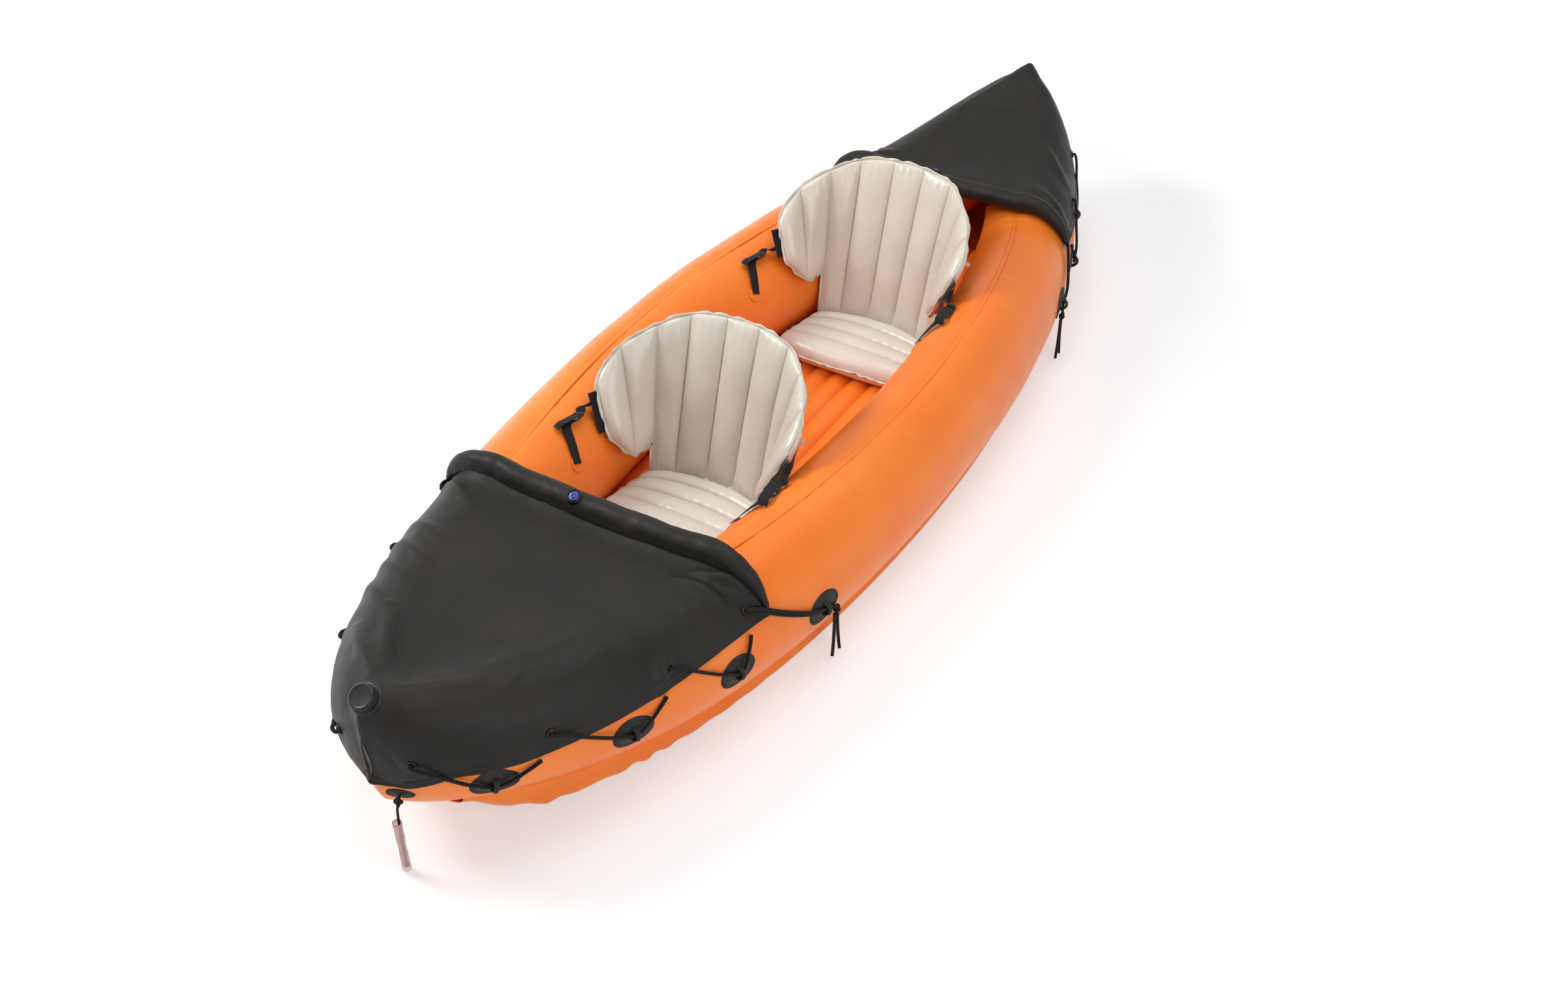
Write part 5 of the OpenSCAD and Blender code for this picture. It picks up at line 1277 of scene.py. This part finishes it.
# The strap's free end, over the buckle and forward
def makeStrapEnd(label, side, buckle):
    start = buckle + (ladder["thick"] / 2 + 0.0012) * buckleWay
    far = strap["looseReach"]
    stops = [start + np.array([0.0, 0.012, -0.004]), start,
             start + np.array([0.002, -buckleHalf - 0.2 * far, 0.004]),
             start + np.array([0.006, -buckleHalf - 0.7 * far, 0.006]),
             start + np.array([0.010, -buckleHalf - far, -strap["looseFall"]])]
    ways = [unit(mix(buckleWay, np.array([0.1, 0, 1.0]), k / 4)) for k in range(5)]
    makePiece(label + "StrapEnd", [bandPart(stops, ways, side)], "webbing", "hull")


# Ladder buckle: a rounded square frame with two bars across it
def makeBuckle(label, node, side, buckle):
    corner = circle(1, ladder["sides"])
    corner = np.sign(corner) * np.abs(corner) ** ladder["squareness"]
    loop = buckle + corner[:, :1] * ladder["halfWide"] * buckleWide
    loop = loop + corner[:, 1:] * ladder["halfLong"] * np.array([0, 1, 0])
    bar = bandOutline(*ladder["bar"])
    parts = [sweepPart(mirrored(loop, side), bar, mirrored(buckleWay, side), loop=True)]
    for shift, lift in ladder["bars"]:
        line = buckle + np.linspace(-ladder["barHalf"], ladder["barHalf"], 12)[:, None] * buckleWide
        line = line + np.array([0, shift, 0]) + lift * buckleWay
        parts.append(sweepPart(mirrored(line, side), bar, mirrored(buckleWay, side)))
    makePiece(label + "Buckle", parts, "black_plastic", "hull", node + "_buckle")


# Tab: an oval pad welded to the chamber, and a short strip to the buckle
def makeTab(label, node, one, side, buckle):
    lon = float(lonAt(one["y"] - tab["fore"]))
    fromPad = hullPoint(lon, tab["angle"], padTop + strap["thick"])
    toBuckle = buckle - np.array([0, buckleHalf - 0.004, 0])
    level = toBuckle - np.array([0, 0.023, 0.001])
    stops = [fromPad, mix(fromPad, level, 0.5) + np.array([0, 0, 0.003]), level, toBuckle]
    face = hullNormal(lon, tab["angle"])
    ways = [unit(mix(face, buckleWay, k / 3)) for k in range(4)]
    makePiece(label + "TabPad", [padPart(lon, tab["angle"], side, tab)], "hull_vinyl", "hull",
              node + "_anchor", weld=True)
    makePiece(label + "Tab", [bandPart(stops, ways, side)], "webbing", "hull", node + "_anchor")


for name in ("front", "rear"):
    one = seat[name]
    buckle = hullPoint(lonAt(one["y"] - ladder["fore"]), ladder["angle"], ladder["off"])
    for side, sideName in sideNames.items():
        label, node = name + sideName.capitalize(), name + "_" + sideName
        makeStrap(label, node, one, side, buckle)
        makeSewnStrap(label, one, side)
        makeStrapEnd(label, side, buckle)
        makeBuckle(label, node, side, buckle)
        makeTab(label, node, one, side, buckle)
print("straps made")

# Stage: a white floor that keeps the shadow, three round soft lamps and a white surround
studio = {"floorSize": 40.0, "floorTone": "#FBFBFB", "shadowTone": "#CCCDCE", "floorGlow": 0.47,
          "shadowReach": (1.1, 2.1, 1.0), "shadowFade": 1.7, "surround": 0.30, "aim": (0, 0, 0.2),
          "key": {"place": (-3.1, -1.7, 3.1), "size": 2.0, "power": 134.0},
          "top": {"place": (0.2, 0.2, 4.6), "size": 3.6, "power": 88.0},
          "fill": {"place": (4.0, -2.2, 2.4), "size": 3.0, "power": 62.0}}
white = (1, 1, 1, 1)


def seenRays(tree):  # 1 for rays that show the background, 0 for those that light the object
    ray = addNode(tree, "LightPath", {}).outputs
    seen = ray["Is Camera Ray"]
    for kind in ("Is Glossy Ray", "Is Transmission Ray"):
        seen = addNode(tree, "Math", {0: seen, 1: ray[kind]}, operation="MAXIMUM").outputs[0]
    return seen


# White paper for the floor: its own glow is low near the boat, where the shadow lies, and full further out
paper, tree, where = startMaterial("white studio floor", "Object")
setShader(tree, Base_Color=toLinear(studio["floorTone"]), Roughness=0.9, Specular_IOR_Level=0.0)
diffuse = addNode(tree, "BsdfDiffuse", {"Color": toLinear(studio["shadowTone"])})
spread = addNode(tree, "VectorMath", {0: where, 1: studio["shadowReach"]}, operation="DIVIDE")
away = addNode(tree, "VectorMath", {0: spread.outputs[0]}, operation="LENGTH")
level = addNode(tree, "MapRange", {"Value": away.outputs["Value"], "From Min": 1.0,
                                   "From Max": studio["shadowFade"],
                                   "To Min": studio["floorGlow"], "To Max": 1.0})
glow = addNode(tree, "Emission", {"Color": white, "Strength": level.outputs[0]})
shown = addNode(tree, "AddShader", {0: diffuse.outputs[0], 1: glow.outputs[0]})
both = addNode(tree, "MixShader", {0: seenRays(tree), 1: tree.nodes["Principled BSDF"].outputs[0],
                                   2: shown.outputs[0]})
feed(tree, tree.nodes["Material Output"].inputs["Surface"], both.outputs[0])
ground = bpy.data.meshes.new("studioFloor")
h = studio["floorSize"] / 2
ground.from_pydata([(-h, -h, 0), (h, -h, 0), (h, h, 0), (-h, h, 0)], [], [(0, 1, 2, 3)])
ground.materials.append(paper)
groundObject = bpy.data.objects.new("studioFloor", ground)
bpy.context.scene.collection.objects.link(groundObject)

world = bpy.data.worlds.new("studio")
bpy.context.scene.world = world
world.use_nodes = True
tree = world.node_tree
tree.nodes.clear()
soft = addNode(tree, "Background", {"Color": white, "Strength": studio["surround"]})
bright = addNode(tree, "Background", {"Color": white, "Strength": 1.0})
sky = addNode(tree, "MixShader", {0: seenRays(tree), 1: soft.outputs[0], 2: bright.outputs[0]})
addNode(tree, "OutputWorld", {"Surface": sky.outputs[0]})

for name in ("key", "top", "fill"):
    lamp = bpy.data.lights.new(name, "AREA")
    lamp.shape = "DISK"
    lamp.size = studio[name]["size"]
    lamp.energy = studio[name]["power"]
    lampObject = bpy.data.objects.new(name, lamp)
    lampObject.location = studio[name]["place"]
    aim = np.subtract(studio["aim"], studio[name]["place"])
    lampObject.rotation_euler = (math.atan2(math.hypot(aim[0], aim[1]), -aim[2]), 0,
                                 math.atan2(aim[1], aim[0]) - math.pi / 2)
    bpy.context.scene.collection.objects.link(lampObject)
bpy.context.scene.view_settings.view_transform = "Standard"

print("scene ready")
